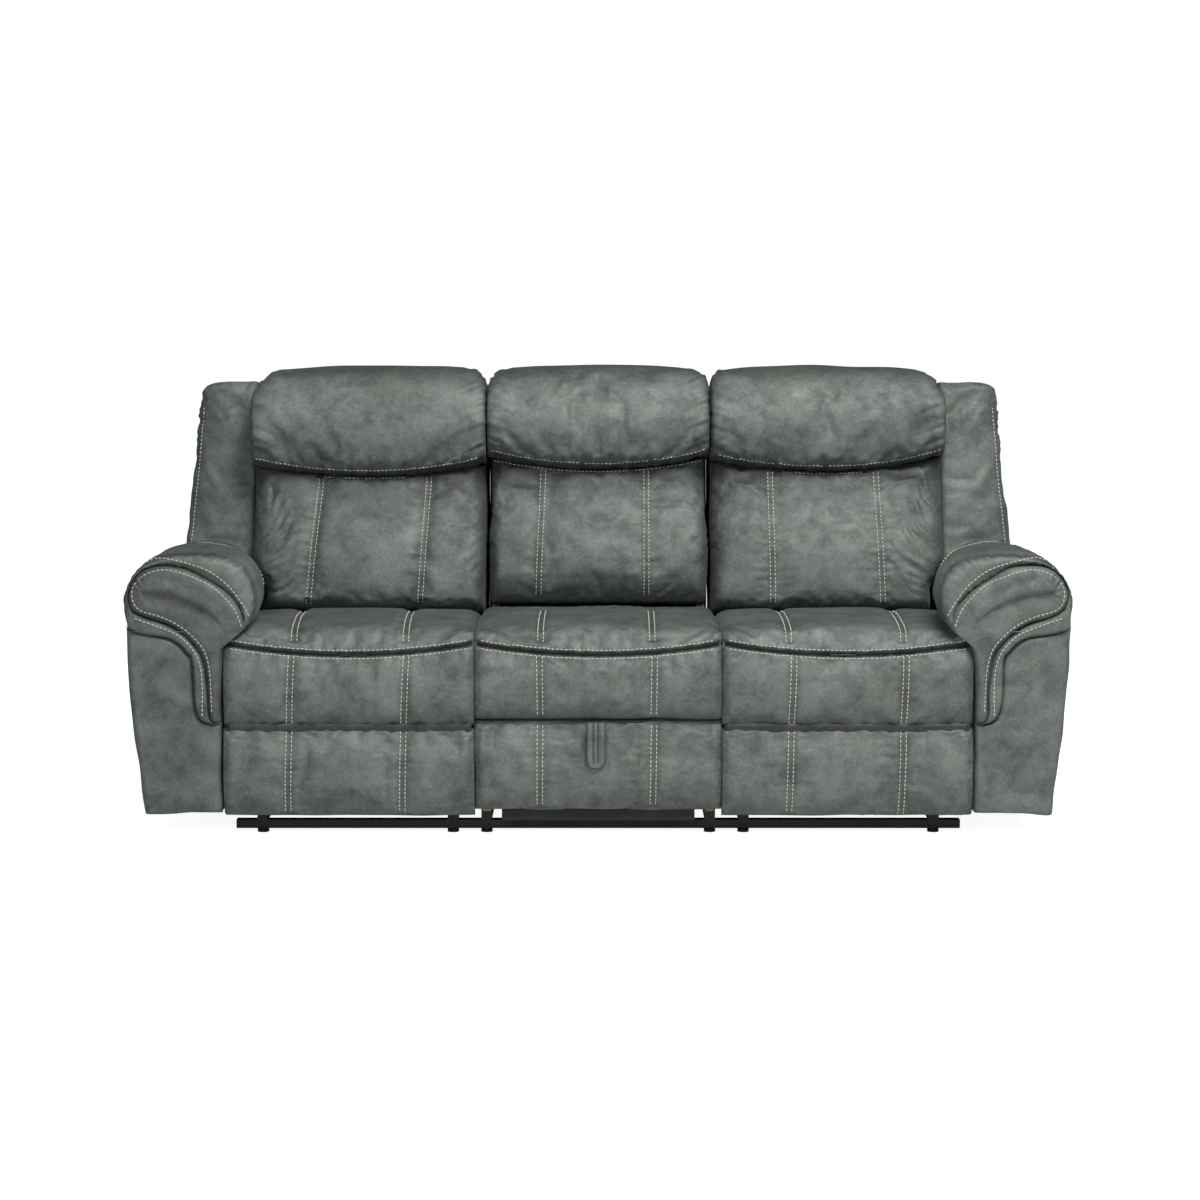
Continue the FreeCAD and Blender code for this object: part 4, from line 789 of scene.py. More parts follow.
DRAWER_SEAMS = [(-0.1345, -0.1355), (0.129, 0.1265)]
pad, rows = make_front_pad(
    "drawer_cover", -MIDDLE_HALF, MIDDLE_HALF, 0.071, 0.276, -0.452, -0.484, DRAWER_SEAMS, 61
)
points, _ = vertices(pad)
pressed = bell(from_tab(points), 0.012) * (points[:, 1] < -0.47)
move(pad, points + np.outer(pressed, [0.0, 0.0035, 0.0]))
# Painted shadow: a dark ring on the drawer cloth round the pull tab.
shaded(pad, 0.55 * bell(from_tab(points), 0.005) * (points[:, 1] < -0.47))
dress(pad, 0.8, "drawer", "drawer_front")
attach(stitches("drawer_stitches", rows), "drawer")


# Crease cloth: the cover runs on unbroken behind the fold between flap and
# footrest, so the strap hinges never show.
for side, sign, _ in SIDES:
    rows, columns = 22, 60
    v, u = np.meshgrid(np.linspace(-1, 1, rows), np.linspace(0, 1, columns), indexing="ij")
    x = sign * (SEAT_INNER_X + 0.006 + (SEAT_OUTER_X - SEAT_INNER_X - 0.012) * u)
    y = -0.4805 + 0.0035 * v**2
    z = CREASE_Z + 0.01 * v
    rim = (np.abs(v) >= 1) | (u <= 0) | (u >= 1)
    front = np.stack([x, y, z], axis=-1)
    rear = np.stack([x, np.where(rim, y, y + 0.0016), z], axis=-1)
    strip = envelope(f"{side}_crease_cloth", front, rear)
    points, _ = vertices(strip)
    # Painted shade: the strip is dark all over, darkest along its middle, for the shade deep in the fold.
    shaded(strip, 1 - 0.4 * ((points[:, 2] - CREASE_Z) / 0.01) ** 2)
    above = (0, -0.476, CREASE_Z + 0.008)
    below = (0, -0.476, CREASE_Z - 0.008)
    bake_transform(strip, f"{side}_flap", f"{side}_footrest", start=above, end=below)


# Backs: drawn upright about the recline pivot, as the frame is, and leaned
# twelve degrees; a lumbar pad below and a head pillow that rolls over the top.
PIVOT = (0.23, 0.3)
LEAN = math.radians(12.0)
BACK_SEAM = 0.486
BACK_ROW_SPACING = 0.0118


def leaned(points):
    """Turn upright back points (x, y, z about the pivot) to the leaned place."""
    x, y, z = np.moveaxis(np.asarray(points, float), -1, 0)
    depth = PIVOT[0] + y * math.cos(LEAN) + z * math.sin(LEAN)
    height = PIVOT[1] - y * math.sin(LEAN) + z * math.cos(LEAN)
    return np.stack([x, depth, height], axis=-1)


def upright(points):
    """The depth and height of leaned points in the upright drawing."""
    y = points[:, 1] - PIVOT[0]
    z = points[:, 2] - PIVOT[1]
    return y * math.cos(LEAN) - z * math.sin(LEAN), y * math.sin(LEAN) + z * math.cos(LEAN)


INTO_BACK = (0.0, math.cos(LEAN), -math.sin(LEAN))


def seam_line(middle, half, lowest, inner, outer):
    """The height of the seam under a head pillow as a function of x, given its middle and its two ends."""

    def height(x):
        share = np.clip((np.asarray(x, float) - middle) / half, -1, 1)
        ends = np.where(np.abs(x) < abs(middle), inner, outer)
        return lowest + (ends - lowest) * share**2

    return height


def rounded(gap, radius):
    """A quarter circle: 0 at the edge, 1 from radius inwards."""
    return np.sqrt(np.clip(1 - (1 - np.clip(gap / radius, 0, 1)) ** 2, 0, 1))


CUP_HEIGHT = 0.2598 + 0.115
CUP_REACH = 0.053
CUP_FLOOR = -0.112


def make_lumbar(name, left, right, low, foot, seam, columns, seed, behind=0.024, cups=()):
    """A lumbar pad with sides by height, full at its foot, set back under the pillow, hollow at cups."""
    rows, count = 80, 96
    v = 0.35 * (0.5 - 0.5 * np.cos(np.linspace(0, math.pi, rows))) + 0.65 * np.linspace(0, 1, rows)
    u = 0.35 * (0.5 - 0.5 * np.cos(np.linspace(0, math.pi, count))) + 0.65 * np.linspace(0, 1, count)
    uu, vv = np.meshgrid(u, v)
    rough_z = low + (BACK_SEAM - low) * vv
    x = left(rough_z) + (right(rough_z) - left(rough_z)) * uu
    top = seam(x) + 0.001
    z = low + (top - low) * vv
    side = np.minimum(uu, 1 - uu) * (right(z) - left(z))
    share = (z - 0.141) / (BACK_SEAM - 0.141)
    front = -0.216 + 0.02 * np.abs(2 * uu - 1) ** 2.6 + 0.046 * eased((share - 0.36) / 0.64)
    front += 0.009 * (foot > 0.05)
    rim = -0.085
    fullness = rounded(side, 0.036) * rounded(z - low, foot) * rounded(top - z, 0.016)
    y = rim + (front - rim) * (0.25 + 0.75 * fullness) * (fullness > 0)
    back = rim + behind * rounded(side, 0.02) * rounded(z - low, 0.02) * rounded(top - z, 0.02)
    for cup_x in cups:
        back = np.where(np.hypot(x - cup_x, z - CUP_HEIGHT) < CUP_REACH, CUP_FLOOR, back)
    lining = leaned(np.stack([x, back, z], axis=-1))
    sheet = leaned(np.stack([x, y, z], axis=-1))

    def held(points):
        gap = np.minimum(side, np.minimum(z - low, top - z))
        index = np.unique(np.append(np.arange(0, rows, 2), rows - 1))
        across = np.unique(np.append(np.arange(0, count, 2), count - 1))
        height = share[index][:, across].ravel()
        lines = [low_x + (top_x - low_x) * height for top_x, low_x in columns]
        return np.maximum(away(gap[index][:, across].ravel(), 0.012), sewn(points, lines))

    piece = envelope(name, settled(sheet, held, 0.01, 0.03, wrap=False), lining)
    unevenness(piece, 0.0012, 0.19, seed)
    tree = tree_of(piece)
    seams = []
    lines = []
    for top_x, low_x in columns:
        share_down = np.linspace(0, 1, 30)
        height = float(seam(top_x)) - 0.012
        height = height - (height - low - 0.012) * share_down
        path, _ = landed(tree, leaned(in_front(top_x + (low_x - top_x) * share_down, height)), INTO_BACK)
        lines.append(path)
        seams.append((path, 0.0048, 0.013, 0.001, 0.05, seed + 5))
    press_seams(piece, seams)
    points, _ = vertices(piece)
    _, height = upright(points)
    below = np.maximum(seam(points[:, 0]) - height, 0)
    # Painted shadow of the head pillow on the top of the pad, and painted shade at its foot and along its
    # sides.
    shaded(piece, 0.76 * bell(below, 0.085))
    shaded(piece, 0.22 * bell(height - low, 0.06))
    gap = np.minimum(points[:, 0] - left(height), right(height) - points[:, 0])
    shaded(piece, 0.34 * bell(np.maximum(gap, 0), 0.02))
    return piece, lines


def corner_fall(gap, radius):
    """How far a rounded corner lies below its flat top, by the distance from the side."""
    share = 1 - np.clip(gap / radius, 0, 1)
    return radius * (1 - math.sqrt(1 - float(share) ** 2))


def make_pillow(name, x0, x1, outer, seam, seed):
    """A head pillow that overhangs the lumbar pad and rolls over the top, softly rounded at its corners."""
    places, draws = stations(x0, x1, 0.034, 0.034, 0.0075)
    middle = 0.5 * (x0 + x1)
    loops = []
    for x, draw in zip(places, draws):
        share = (x - middle) / (x1 - middle)
        toward_outer = share * outer > 0
        fall = corner_fall(min(x - x0, x1 - x), 0.07 if toward_outer else 0.042)
        fall += (0.02 if toward_outer else 0.012) * abs(share) ** 3
        inset = 0.016 * draw
        low = float(seam(x)) + 0.002
        steps = [
            (-0.062, low + 0.003), (-0.105, low - 0.001), (-0.16 + inset, low - 0.004),
            (-0.196 + inset, low + 0.003), (-0.225 + inset, low + 0.026),
            (-0.2385 + inset, low + 0.07), (-0.237 + inset, low + 0.125 - 0.2 * fall),
            (-0.218 + inset, 0.708 - 0.6 * fall), (-0.174 + 0.6 * inset, 0.745 - fall),
            (-0.1, 0.765 - fall), (-0.03, 0.761 - fall), (0.045, 0.748 - fall),
            (0.086 - 0.5 * inset, 0.718 - 0.9 * fall), (0.098 - 0.5 * inset, 0.685 - 0.4 * fall),
            (0.096 - 0.5 * inset, 0.648), (0.04, 0.642), (-0.04, 0.642), (-0.06, 0.63),
        ]
        loop = smooth_path(steps, 190, closed=True)
        loops.append(leaned(np.column_stack([np.full(len(loop), x), loop])))

    def held(points):
        depth, height = upright(points)
        foot = away(np.abs(height - seam(points[:, 0])), 0.014)
        inside = ((depth > -0.13) & (height < 0.66)).astype(float)
        return np.maximum.reduce([away(side_gap(points, x0, x1), 0.014), foot, inside])

    piece = closed_form(name, settled(np.array(loops), held, 0.011, 0.04))
    unevenness(piece, 0.0014, 0.21, seed)
    points, _ = vertices(piece)
    x, _, z = points.T
    depth, height = upright(points)
    above = height - seam(x)
    shift = np.zeros(len(points))
    for edge, seed_step in ((x0, 0), (x1, 7)):
        gap = np.abs(x - edge)
        folds = waver(z + 0.4 * gap, (0.017, 0.026, 0.043, 0.08), seed + seed_step)
        shift += 0.003 * folds * bell(gap, 0.05) * np.clip(gap / 0.008, 0, 1)
    folds = waver(x + 0.3 * height, (0.024, 0.041, 0.07), seed + 3)
    push(piece, shift + 0.002 * folds * bell(above - 0.01, 0.035) * (depth < -0.12))
    keep_between(piece, x0, x1)
    # Painted shade along the pillow's lower edge, and on its top, darker upwards.
    shaded(piece, 0.8 * bell(above + 0.001, 0.005) * (depth < -0.1))
    shaded(piece, 0.34 * np.clip((height - 0.7) / 0.06, 0, 1))
    return piece


def pillow_rows(pillow, lumbar, x0, x1, seam, inner_row):
    """The stitch rows above and below the pillow's seam."""
    across = np.linspace(x0 + 0.008, x1 - 0.008, 60)
    above = stitch_row(tree_of(pillow), leaned(in_front(across, seam(across) + 0.0055)), INTO_BACK)
    across = np.linspace(*inner_row, 40)
    below = stitch_row(tree_of(lumbar), leaned(in_front(across, seam(across) - 0.0105)), INTO_BACK)
    return [above], [below]


BACK_INNER_X = 0.2802
BACK_OUTER_X = 0.8655
LUMBAR_SEAMS = {
    "left": [(-0.6915, -0.7185), (-0.4225, -0.4415)],
    "right": [(0.4295, 0.433), (0.6935, 0.705)],
    "middle": [(-0.137, -0.149), (0.12, 0.1195)],
}
SEAM_HEIGHTS = {"left": (0.486, 0.521, 0.518), "right": (0.498, 0.529, 0.542)}


def lumbar_side(z):
    """The outer side of an end lumbar pad: it stays clear of the arm below and meets the wing above."""
    return 0.83 + 0.035 * eased((z - 0.185) / 0.08)


def pulls_on(lumbar, sign):
    """Fans of tension folds that run up from where the arm holds the pad."""
    tree = tree_of(lumbar)
    random = np.random.default_rng(40 + sign)
    folds = []
    for k in range(15):
        x = 0.812 + 0.0022 * k + random.uniform(-0.004, 0.004)
        z = 0.185 + 0.017 * k + random.uniform(-0.004, 0.004)
        reach = random.uniform(0.07, 0.14) * (1 - 0.03 * k)
        turn = math.radians(34 + 2.2 * k + random.uniform(-7, 7))
        share = np.linspace(0, 1, 8)
        bend = random.uniform(0.006, 0.018) * np.sin(math.pi * share)
        across = sign * (x - share * reach * math.cos(turn) - bend * math.sin(turn))
        rise = z + share * reach * math.sin(turn) - bend * math.cos(turn)
        path, _ = landed(tree, leaned(in_front(across, rise)), INTO_BACK)
        folds.append((path, random.uniform(0.0022, 0.0048), random.uniform(0.0045, 0.0075)))
    for k in range(9):
        z = 0.155 + 0.036 * k + random.uniform(-0.008, 0.008)
        across = sign * np.array([0.284, 0.284 + random.uniform(0.02, 0.05)])
        rise = np.array([z, z + random.uniform(-0.02, 0.025)])
        path, _ = landed(tree, leaned(in_front(across, rise)), INTO_BACK)
        folds.append((path, 0.0016, 0.0045))
    crease(lumbar, folds)


def straight(x):
    """An upright edge at x, as a function of height."""
    return lambda z: np.full_like(z, x)


def edges_of(sign, inner, outer):
    """An end back's left and right edges, from its straight inner side and its outer side by height."""
    edges = (lambda z: sign * outer(z), straight(sign * inner))
    return edges if sign < 0 else edges[::-1]


for side, sign, _ in SIDES:
    edges = edges_of(sign, BACK_INNER_X, lumbar_side)
    back_middle = 0.5 * (BACK_INNER_X + BACK_OUTER_X)
    seam = seam_line(sign * back_middle, BACK_OUTER_X - back_middle, *SEAM_HEIGHTS[side])
    lumbar, lines = make_lumbar(
        f"{side}_lumbar_cover", *edges, 0.145, 0.03, seam, LUMBAR_SEAMS[side], 71 + sign
    )
    pulls_on(lumbar, sign)
    rows = double_rows(tree_of(lumbar), lines, INTO_BACK, BACK_ROW_SPACING)
    ends = sorted((sign * BACK_INNER_X, sign * BACK_OUTER_X))
    pillow = make_pillow(f"{side}_pillow_cover", *ends, sign, seam, 81 + sign)
    middle = sum(ends) / 2
    pillow_threads, extra = pillow_rows(pillow, lumbar, *ends, seam, (middle - 0.115, middle + 0.095))
    dress(lumbar, 0.8, f"{side}_back", f"{side}_lumbar_cushion")
    dress(pillow, 0.8, f"{side}_back", f"{side}_head_pillow")
    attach(stitches(f"{side}_back_stitches", rows + extra + pillow_threads), f"{side}_back")


# Middle back: the lumbar pad is the padded side of the fold-down table, so
# its foot is rounded about the pivot, to turn clear of the frame and the seat,
# and its sides are cut back behind the pivot ears; the pillow is fixed.
seam = seam_line(1e-9, 0.2765, 0.504, 0.54, 0.54)
lumbar, lines = make_lumbar(
    "middle_lumbar_cover",
    straight(-0.2755),
    straight(0.2755),
    0.1665,
    0.088,
    seam,
    LUMBAR_SEAMS["middle"],
    91,
    behind=0.0062,
    cups=(-0.12, 0.12),
)
points, _ = vertices(lumbar)
depth, height = upright(points)
TABLE_PIVOT = (-0.115, 0.2598)
limit = np.interp(depth, [-0.142, -0.13], [0.2755, 0.266])
points[:, 0] = np.clip(points[:, 0], -limit, limit)
reach = np.hypot(depth - TABLE_PIVOT[0], height - TABLE_PIVOT[1]) + 1e-9
allowed = np.interp(height - TABLE_PIVOT[1], [-0.04, -0.015, 0.01, 0.03], [0.096, 0.101, 0.11, 1.0000])
scale = np.minimum(1.0, allowed / reach)
depth = TABLE_PIVOT[0] + (depth - TABLE_PIVOT[0]) * scale
height = TABLE_PIVOT[1] + (height - TABLE_PIVOT[1]) * scale
move(lumbar, leaned(np.column_stack([points[:, 0], depth, height])))
pillow = make_pillow("middle_pillow_cover", -0.2768, 0.2768, 0, seam, 95)
rows = double_rows(tree_of(lumbar), lines, INTO_BACK, BACK_ROW_SPACING)
pillow_threads, extra = pillow_rows(pillow, lumbar, -0.2768, 0.2768, seam, (-0.266, 0.266))
dress(lumbar, 0.8, "table", "table_pad")
dress(pillow, 0.8, "base", "middle_head_pillow")
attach(stitches("table_stitches", rows + extra), "table")
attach(stitches("middle_pillow_stitches", pillow_threads), "base")


# Wings: tall padded ears on the outer edge of each end back, gathered at the
# top and stitched down the outer edge.
def wing_side(z):
    """The outer side of a wing by height."""
    return float(np.interp(z, [0.09, 0.333, 0.51, 0.675, 0.742], [1.044, 1.038, 1.0225, 1.012, 1.006]))


def make_wing(name, sign, seed):
    """A wing as a stack of plan outlines, drawn in at the top and the foot."""
    inner = 0.866
    low, high = 0.09, 0.742
    heights, draws = stations(low, high, 0.016, 0.034, 0.0085)
    loops = []
    for z, draw in zip(heights, draws):
        share = (z - low) / (high - low)
        top = share > 0.5
        outer = wing_side(z) - (0.026 if top else 0.012) * draw
        front = -0.078 + (0.016 if top else 0.01) * draw - 0.006 * math.sin(math.pi * share)
        rear = 0.0985 - 0.004 * draw
        steps = [
            (inner, front + 0.01), (inner + 0.03, front + 0.001),
            (0.5 * (inner + outer) + 0.01, front - 0.002), (outer - 0.034, front + 0.003),
            (outer - 0.01, front + 0.016), (outer - 0.001, front + 0.042),
            (outer + 0.001, 0.5 * (front + rear)), (outer - 0.001, rear - 0.02), (outer - 0.006, rear),
            (0.5 * (inner + outer), rear), (inner + 0.004, rear), (inner, rear - 0.01),
            (inner, 0.5 * (front + rear)),
        ]
        loop = smooth_path(steps, 120, closed=True)
        loops.append(leaned(np.column_stack([sign * loop[:, 0], loop[:, 1], np.full(len(loop), z)])))

    def held(points):
        x, _, z = points.T
        ends = np.minimum(z - z.min(), z.max() - z)
        return np.maximum(away(ends, 0.02), (np.abs(x) < inner + 0.008).astype(float))

    piece = closed_form(name, settled(np.array(loops), held, 0.007, 0.03))
    unevenness(piece, 0.0018, 0.16, seed)
    x, _, z = vertices(piece)[0].T
    outward = np.clip(np.abs(x) - 0.9, 0, 0.12) / 0.12
    zone = bell(z - 0.955, 0.085)
    folds = waver(z + 0.25 * np.abs(x), (0.019, 0.031, 0.052), seed + 1)
    shift = 0.0026 * folds * outward * zone
    push(piece, shift + 0.001 * waver(z, (0.05, 0.083, 0.14), seed + 2) * outward)
    tree = tree_of(piece)
    height = np.linspace(0.3, 0.685, 60)
    edge = np.array([wing_side(place) for place in height]) - 0.01
    return piece, [stitch_row(tree, leaned(in_front(sign * edge, height)), INTO_BACK)]


for side, sign, _ in SIDES:
    wing, rows = make_wing(f"{side}_wing_cover", sign, 101 + sign)
    dress(wing, 0.75, f"{side}_back", f"{side}_wing")
    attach(stitches(f"{side}_wing_stitches", rows), f"{side}_back")


# Outside backs and the rear skirt: cloth pulled over thin board, stapled
# behind a welt, nearly flat.
def make_panel(name, left, right, low, high, thickness, place, seed):
    """A thin panel, crowned a little, between a left and a right edge given by height."""
    v, u = np.meshgrid(np.linspace(0, 1, 44), np.linspace(0, 1, 40), indexing="ij")
    z = low + (high - low) * v
    x = left(z) + (right(z) - left(z)) * u
    gap = np.minimum(np.minimum(u, 1 - u) * (right(z) - left(z)), np.minimum(v, 1 - v) * (high - low))
    face = thickness * (0.55 + 0.45 * rounded(gap, 0.03)) * (gap > 0)
    outer = place(np.stack([x, face, z], axis=-1))
    inner = place(np.stack([x, np.zeros_like(x), z], axis=-1))
    piece = envelope(name, outer, inner)
    unevenness(piece, 0.0012, 0.25, seed)
    return piece


def behind_back(points):
    return leaned(points + np.array([0.0, 0.1, 0.0]))


def outside_edge(z):
    """The outer edge of an end outside back: narrow below the arm, wide behind the wing."""
    wide = 1.036 - 0.022 * np.clip((z - 0.095) / 0.59, 0, 1)
    return np.where(z < 0.095, 0.866, np.where(z > 0.665, wide - 1.2 * (z - 0.665), wide))


def behind_mechanism(points):
    return points + np.array([0.0, 0.339, 0.0])


back_span = (0.004, 0.69)
skirt_span = (0.056, 0.265)
middle_edges = (straight(-0.2788), straight(0.2788))
skirt_edges = (straight(-0.849), straight(0.849))
left_edges, right_edges = (edges_of(sign, 0.2792, outside_edge) for sign in (-1, 1))
for node, body, edges, span, thickness, place, seed in (
    ("left_outside_back", "left_back", left_edges, back_span, 0.0185, behind_back, 110),
    ("right_outside_back", "right_back", right_edges, back_span, 0.0185, behind_back, 112),
    ("middle_outside_back", "base", middle_edges, back_span, 0.0185, behind_back, 117),
    ("rear_skirt", "base", skirt_edges, skirt_span, 0.0125, behind_mechanism, 118),
):
    panel = make_panel(f"{node}_cover", *edges, *span, thickness, place, seed)
    dress(panel, 0.9, body, node)


# Arms: a board box under cloth with a thick roll on top; the roll's cover
# ends in a sewn groove round the front pad, whose tail runs down beside the
# seat, and a stitched band follows the groove below.
GROOVE_TOP = [
    (1.0776, 0.5621), (1.0748, 0.592), (1.0504, 0.625), (1.0066, 0.6395), (0.9539, 0.634),
    (0.9129, 0.615), (0.864, 0.586), (0.8311, 0.5535), (0.81, 0.515), (0.813, 0.491),
]
GROOVE_TAIL = [(0.813, 0.491), (0.8458, 0.4743), (0.8624, 0.435), (0.8694, 0.3515), (0.87, 0.274)]
GROOVE_LOW = [
    (1.0776, 0.5621), (1.069, 0.5344), (1.0405, 0.5182), (0.9971, 0.5055), (0.9651, 0.4882),
    (0.9356, 0.4616), (0.9119, 0.4257), (0.9007, 0.3678), (0.9, 0.274),
]
BAND_EDGE = [
    (1.086, 0.52), (1.0823, 0.4905), (1.0411, 0.4789), (0.9907, 0.4697), (0.9656, 0.457),
    (0.9474, 0.4373), (0.9339, 0.4141), (0.9306, 0.319), (0.9195, 0.2842), (0.9012, 0.2726), (0.876, 0.269),
]
OUTER_ROW = [
    (0.8016, 0.5205), (0.8174, 0.5505), (0.8536, 0.5966), (0.9082, 0.6335), (0.9996, 0.6555),
    (1.0502, 0.6404),
]
ROLL = [
    (0.85, 0.487), (0.813, 0.495), (0.788, 0.53), (0.78, 0.57), (0.79, 0.618),
    (0.824, 0.65), (0.878, 0.665), (0.944, 0.6665), (1.01, 0.656), (1.058, 0.629),
    (1.084, 0.593), (1.092, 0.56), (1.0895, 0.52), (1.08, 0.487),
]


OUTER_EDGE = [
    (1.088, 0.4985), (1.0868, 0.46), (1.085, 0.3863), (1.075, 0.2726), (1.064, 0.18), (1.0515, 0.07),
    (1.048, 0.0625),
]
INNER_EDGE = BAND_EDGE[1:] + [(0.8712, 0.264), (0.8705, 0.2), (0.8705, 0.1), (0.871, 0.0625)]
FRONT_TURN = [
    (0.0, -0.44), (0.03, -0.456), (0.09, -0.468), (0.2, -0.479), (0.36, -0.487),
    (0.55, -0.491), (0.72, -0.4905), (0.86, -0.486), (0.95, -0.48), (1.0, -0.473),
]
CROSS_SEAM = [
    (0.802, 0.57), (0.8083, 0.5884), (0.8221, 0.612), (0.8408, 0.631), (0.8571, 0.6428), (0.8806, 0.6499),
    (0.9157, 0.662), (0.97, 0.664),
]


def front_line(path, sign, count):
    """A smooth path in (x, z) set out in front of the arm."""
    x, z = smooth_path(path, count).T
    return in_front(sign * x, z)


def cross_seam_y(x):
    """Where the seam across the roll runs: it slants back from the inner side to the outer."""
    return -0.31 + 0.9 * (x - 0.8)


def make_roll(name, sign, seed):
    """The roll: its section runs back, slims and falls to the rear, and turns in to the groove in front."""
    arch = smooth_path(ROLL, 130)
    floor = np.column_stack([np.linspace(1.076, 0.854, 24), np.full(24, 0.4862)])
    section = np.vstack([arch, floor])
    ring = np.vstack([smooth_path(GROOVE_TOP[::-1] + [(1.069, 0.5344), (1.055, 0.5)], 130), floor])
    loops = []
    turn = smooth_path(FRONT_TURN, 18)[::-1]
    for share, y in turn:
        loops.append((section + (ring - section) * share, y))
    lean_in = np.clip((0.98 - section[:, 0]) / 0.19, 0, 1)
    height = np.clip((section[:, 1] - 0.49) / 0.17, 0, 1)
    for y in np.arange(-0.43, 0.15, 0.01):
        slim = 0.092 * eased((y + 0.4) / 0.45)
        fall = np.clip((y + 0.25) / 0.4, 0, 1)
        loops.append((section + np.column_stack([slim * lean_in, -0.028 * fall * height]), y))
    body = loops[-1][0]
    middle = body.mean(axis=0)
    for turn in np.linspace(0, math.pi / 2, 9)[1:]:
        loops.append((body + (middle - body) * 0.16 * (1 - math.cos(turn)), 0.15 + 0.036 * math.sin(turn)))
    stack = [np.column_stack([sign * loop[:, 0], np.full(len(loop), y), loop[:, 1]]) for loop, y in loops]

    def held(points):
        front = away(np.maximum(points[:, 1] + 0.482, 0), 0.012)
        foot = away(np.maximum(points[:, 2] - 0.489, 0), 0.008)
        return np.maximum.reduce([front, foot, away(np.maximum(0.17 - points[:, 1], 0), 0.01)])

    piece = closed_form(name, settled(np.array(stack), held, 0.0045, 0.02))
    unevenness(piece, 0.0022, 0.2, seed)
    x, y, z = vertices(piece)[0].T
    top = np.clip((z - 0.5) / 0.08, 0, 1)
    rear = np.clip((y + 0.25) / 0.15, 0, 1)
    shift = 0.0022 * waver(y + 0.3 * np.abs(x), (0.035, 0.052, 0.09), seed + 1) * top * rear
    radial = waver(np.arctan2(z - 0.53, x - sign * 0.94) * 0.12, (0.016, 0.027, 0.045), seed + 2)
    shift += 0.0008 * radial * bell(y + 0.478, 0.02) * (z > 0.5)
    seam = bell(y - cross_seam_y(np.abs(x)), 0.006) * top
    push(piece, shift - 0.005 * seam)
    # Painted shade in the seam across the roll and in the groove along its front.
    shaded(piece, np.maximum(0.8 * seam, bell(y + 0.4745, 0.005) * (z > 0.49)))
    tree = tree_of(piece)
    rows = [stitch_row(tree, front_line(OUTER_ROW, sign, 90), INTO)]
    middle = np.array([0.935, 0.56])
    hits = []
    for x, z in smooth_path(CROSS_SEAM, 90):
        start = Vector((sign * x, cross_seam_y(x) + 0.012, z))
        toward = Vector((sign * (middle[0] - x), 0.0, middle[1] - z)).normalized()
        place, _, _, _ = tree.ray_cast(start - toward * 0.15, toward)
        hits.append(place if place is not None else start)
    hits = np.array(hits)
    runs = np.concatenate([[0.0], np.cumsum(np.linalg.norm(np.diff(hits, axis=0), axis=1))])
    starts = np.arange(0.005, runs[-1] - 0.01, STITCH_PITCH)
    first, last = (
        np.stack([np.interp(places, runs, hits[:, k]) for k in range(3)], axis=1)
        for places in (starts, starts + STITCH_LENGTH)
    )
    outward = first - np.array([sign * middle[0], 0.0, middle[1]])
    outward[:, 1] = 0.0
    outward /= np.linalg.norm(outward, axis=1)[:, None]
    rows.append((first, last, outward))
    return piece, rows


def ruled_pad(name, sign, first, second, along, across, back, edge, face, radius, seed):
    """A pad on the arm's front between two curves in (x, z), rising from edge to face over radius."""
    a = smooth_path(first, along)
    b = smooth_path(second, along)
    share = (0.5 - 0.5 * np.cos(np.linspace(0, math.pi, across)))[None, :, None]
    flat = a[:, None, :] * (1 - share) + b[:, None, :] * share
    width = np.linalg.norm(b - a, axis=1)[:, None]
    gap = np.minimum(share[..., 0], 1 - share[..., 0]) * width
    step = np.linalg.norm(np.diff(a, axis=0), axis=1).mean()
    ends = np.minimum(np.arange(along), np.arange(along)[::-1])[:, None] * step
    rise = rounded(gap, radius) * rounded(np.broadcast_to(ends + 0.004, gap.shape), radius)
    rim = (gap <= 0) | (ends <= 0)
    y = np.where(rim, edge + 0.004, edge + (face - edge) * rise)
    front = np.stack([sign * flat[..., 0], y, flat[..., 1]], axis=-1)
    rear_y = np.where(rim, edge + 0.004, back)
    rear = np.stack([sign * flat[..., 0], rear_y, flat[..., 1]], axis=-1)
    piece = envelope(name, front, rear)
    unevenness(piece, 0.0012, 0.12, seed)
    return piece


INNER_ROW = [
    (0.8185, 0.496), (0.833, 0.5344), (0.8585, 0.566), (0.8857, 0.5905), (0.9176, 0.607), (0.9632, 0.624),
    (1.0021, 0.629), (1.0389, 0.618), (1.064, 0.594), (1.069, 0.572), (1.064, 0.549), (1.0472, 0.5344),
    (1.0083, 0.5228), (0.9741, 0.5078), (0.9422, 0.4859), (0.915, 0.457), (0.9037, 0.4373), (0.8928, 0.391),
    (0.8895, 0.2912),
]
BELOW_ROW = [
    (1.068, 0.518), (1.0224, 0.502), (0.9858, 0.4882), (0.9607, 0.4743), (0.9335, 0.4465), (0.9178, 0.4141),
    (0.9115, 0.3678), (0.9126, 0.2842),
]
FOLD = [
    (1.048, 0.579), (1.0305, 0.5782), (0.9892, 0.5736), (0.9527, 0.5609), (0.9093, 0.5413), (0.8752, 0.5136),
    (0.8572, 0.4836),
]
PLEATS = [
    ((1.04, 0.58), (1.066, 0.606)), ((1.033, 0.581), (1.053, 0.616)),
    ((1.024, 0.5815), (1.034, 0.618)), ((1.013, 0.58), (1.015, 0.612)),
    ((1.042, 0.577), (1.07, 0.585)), ((0.998, 0.579), (0.993, 0.605)),
    ((1.04, 0.573), (1.064, 0.56)),
]

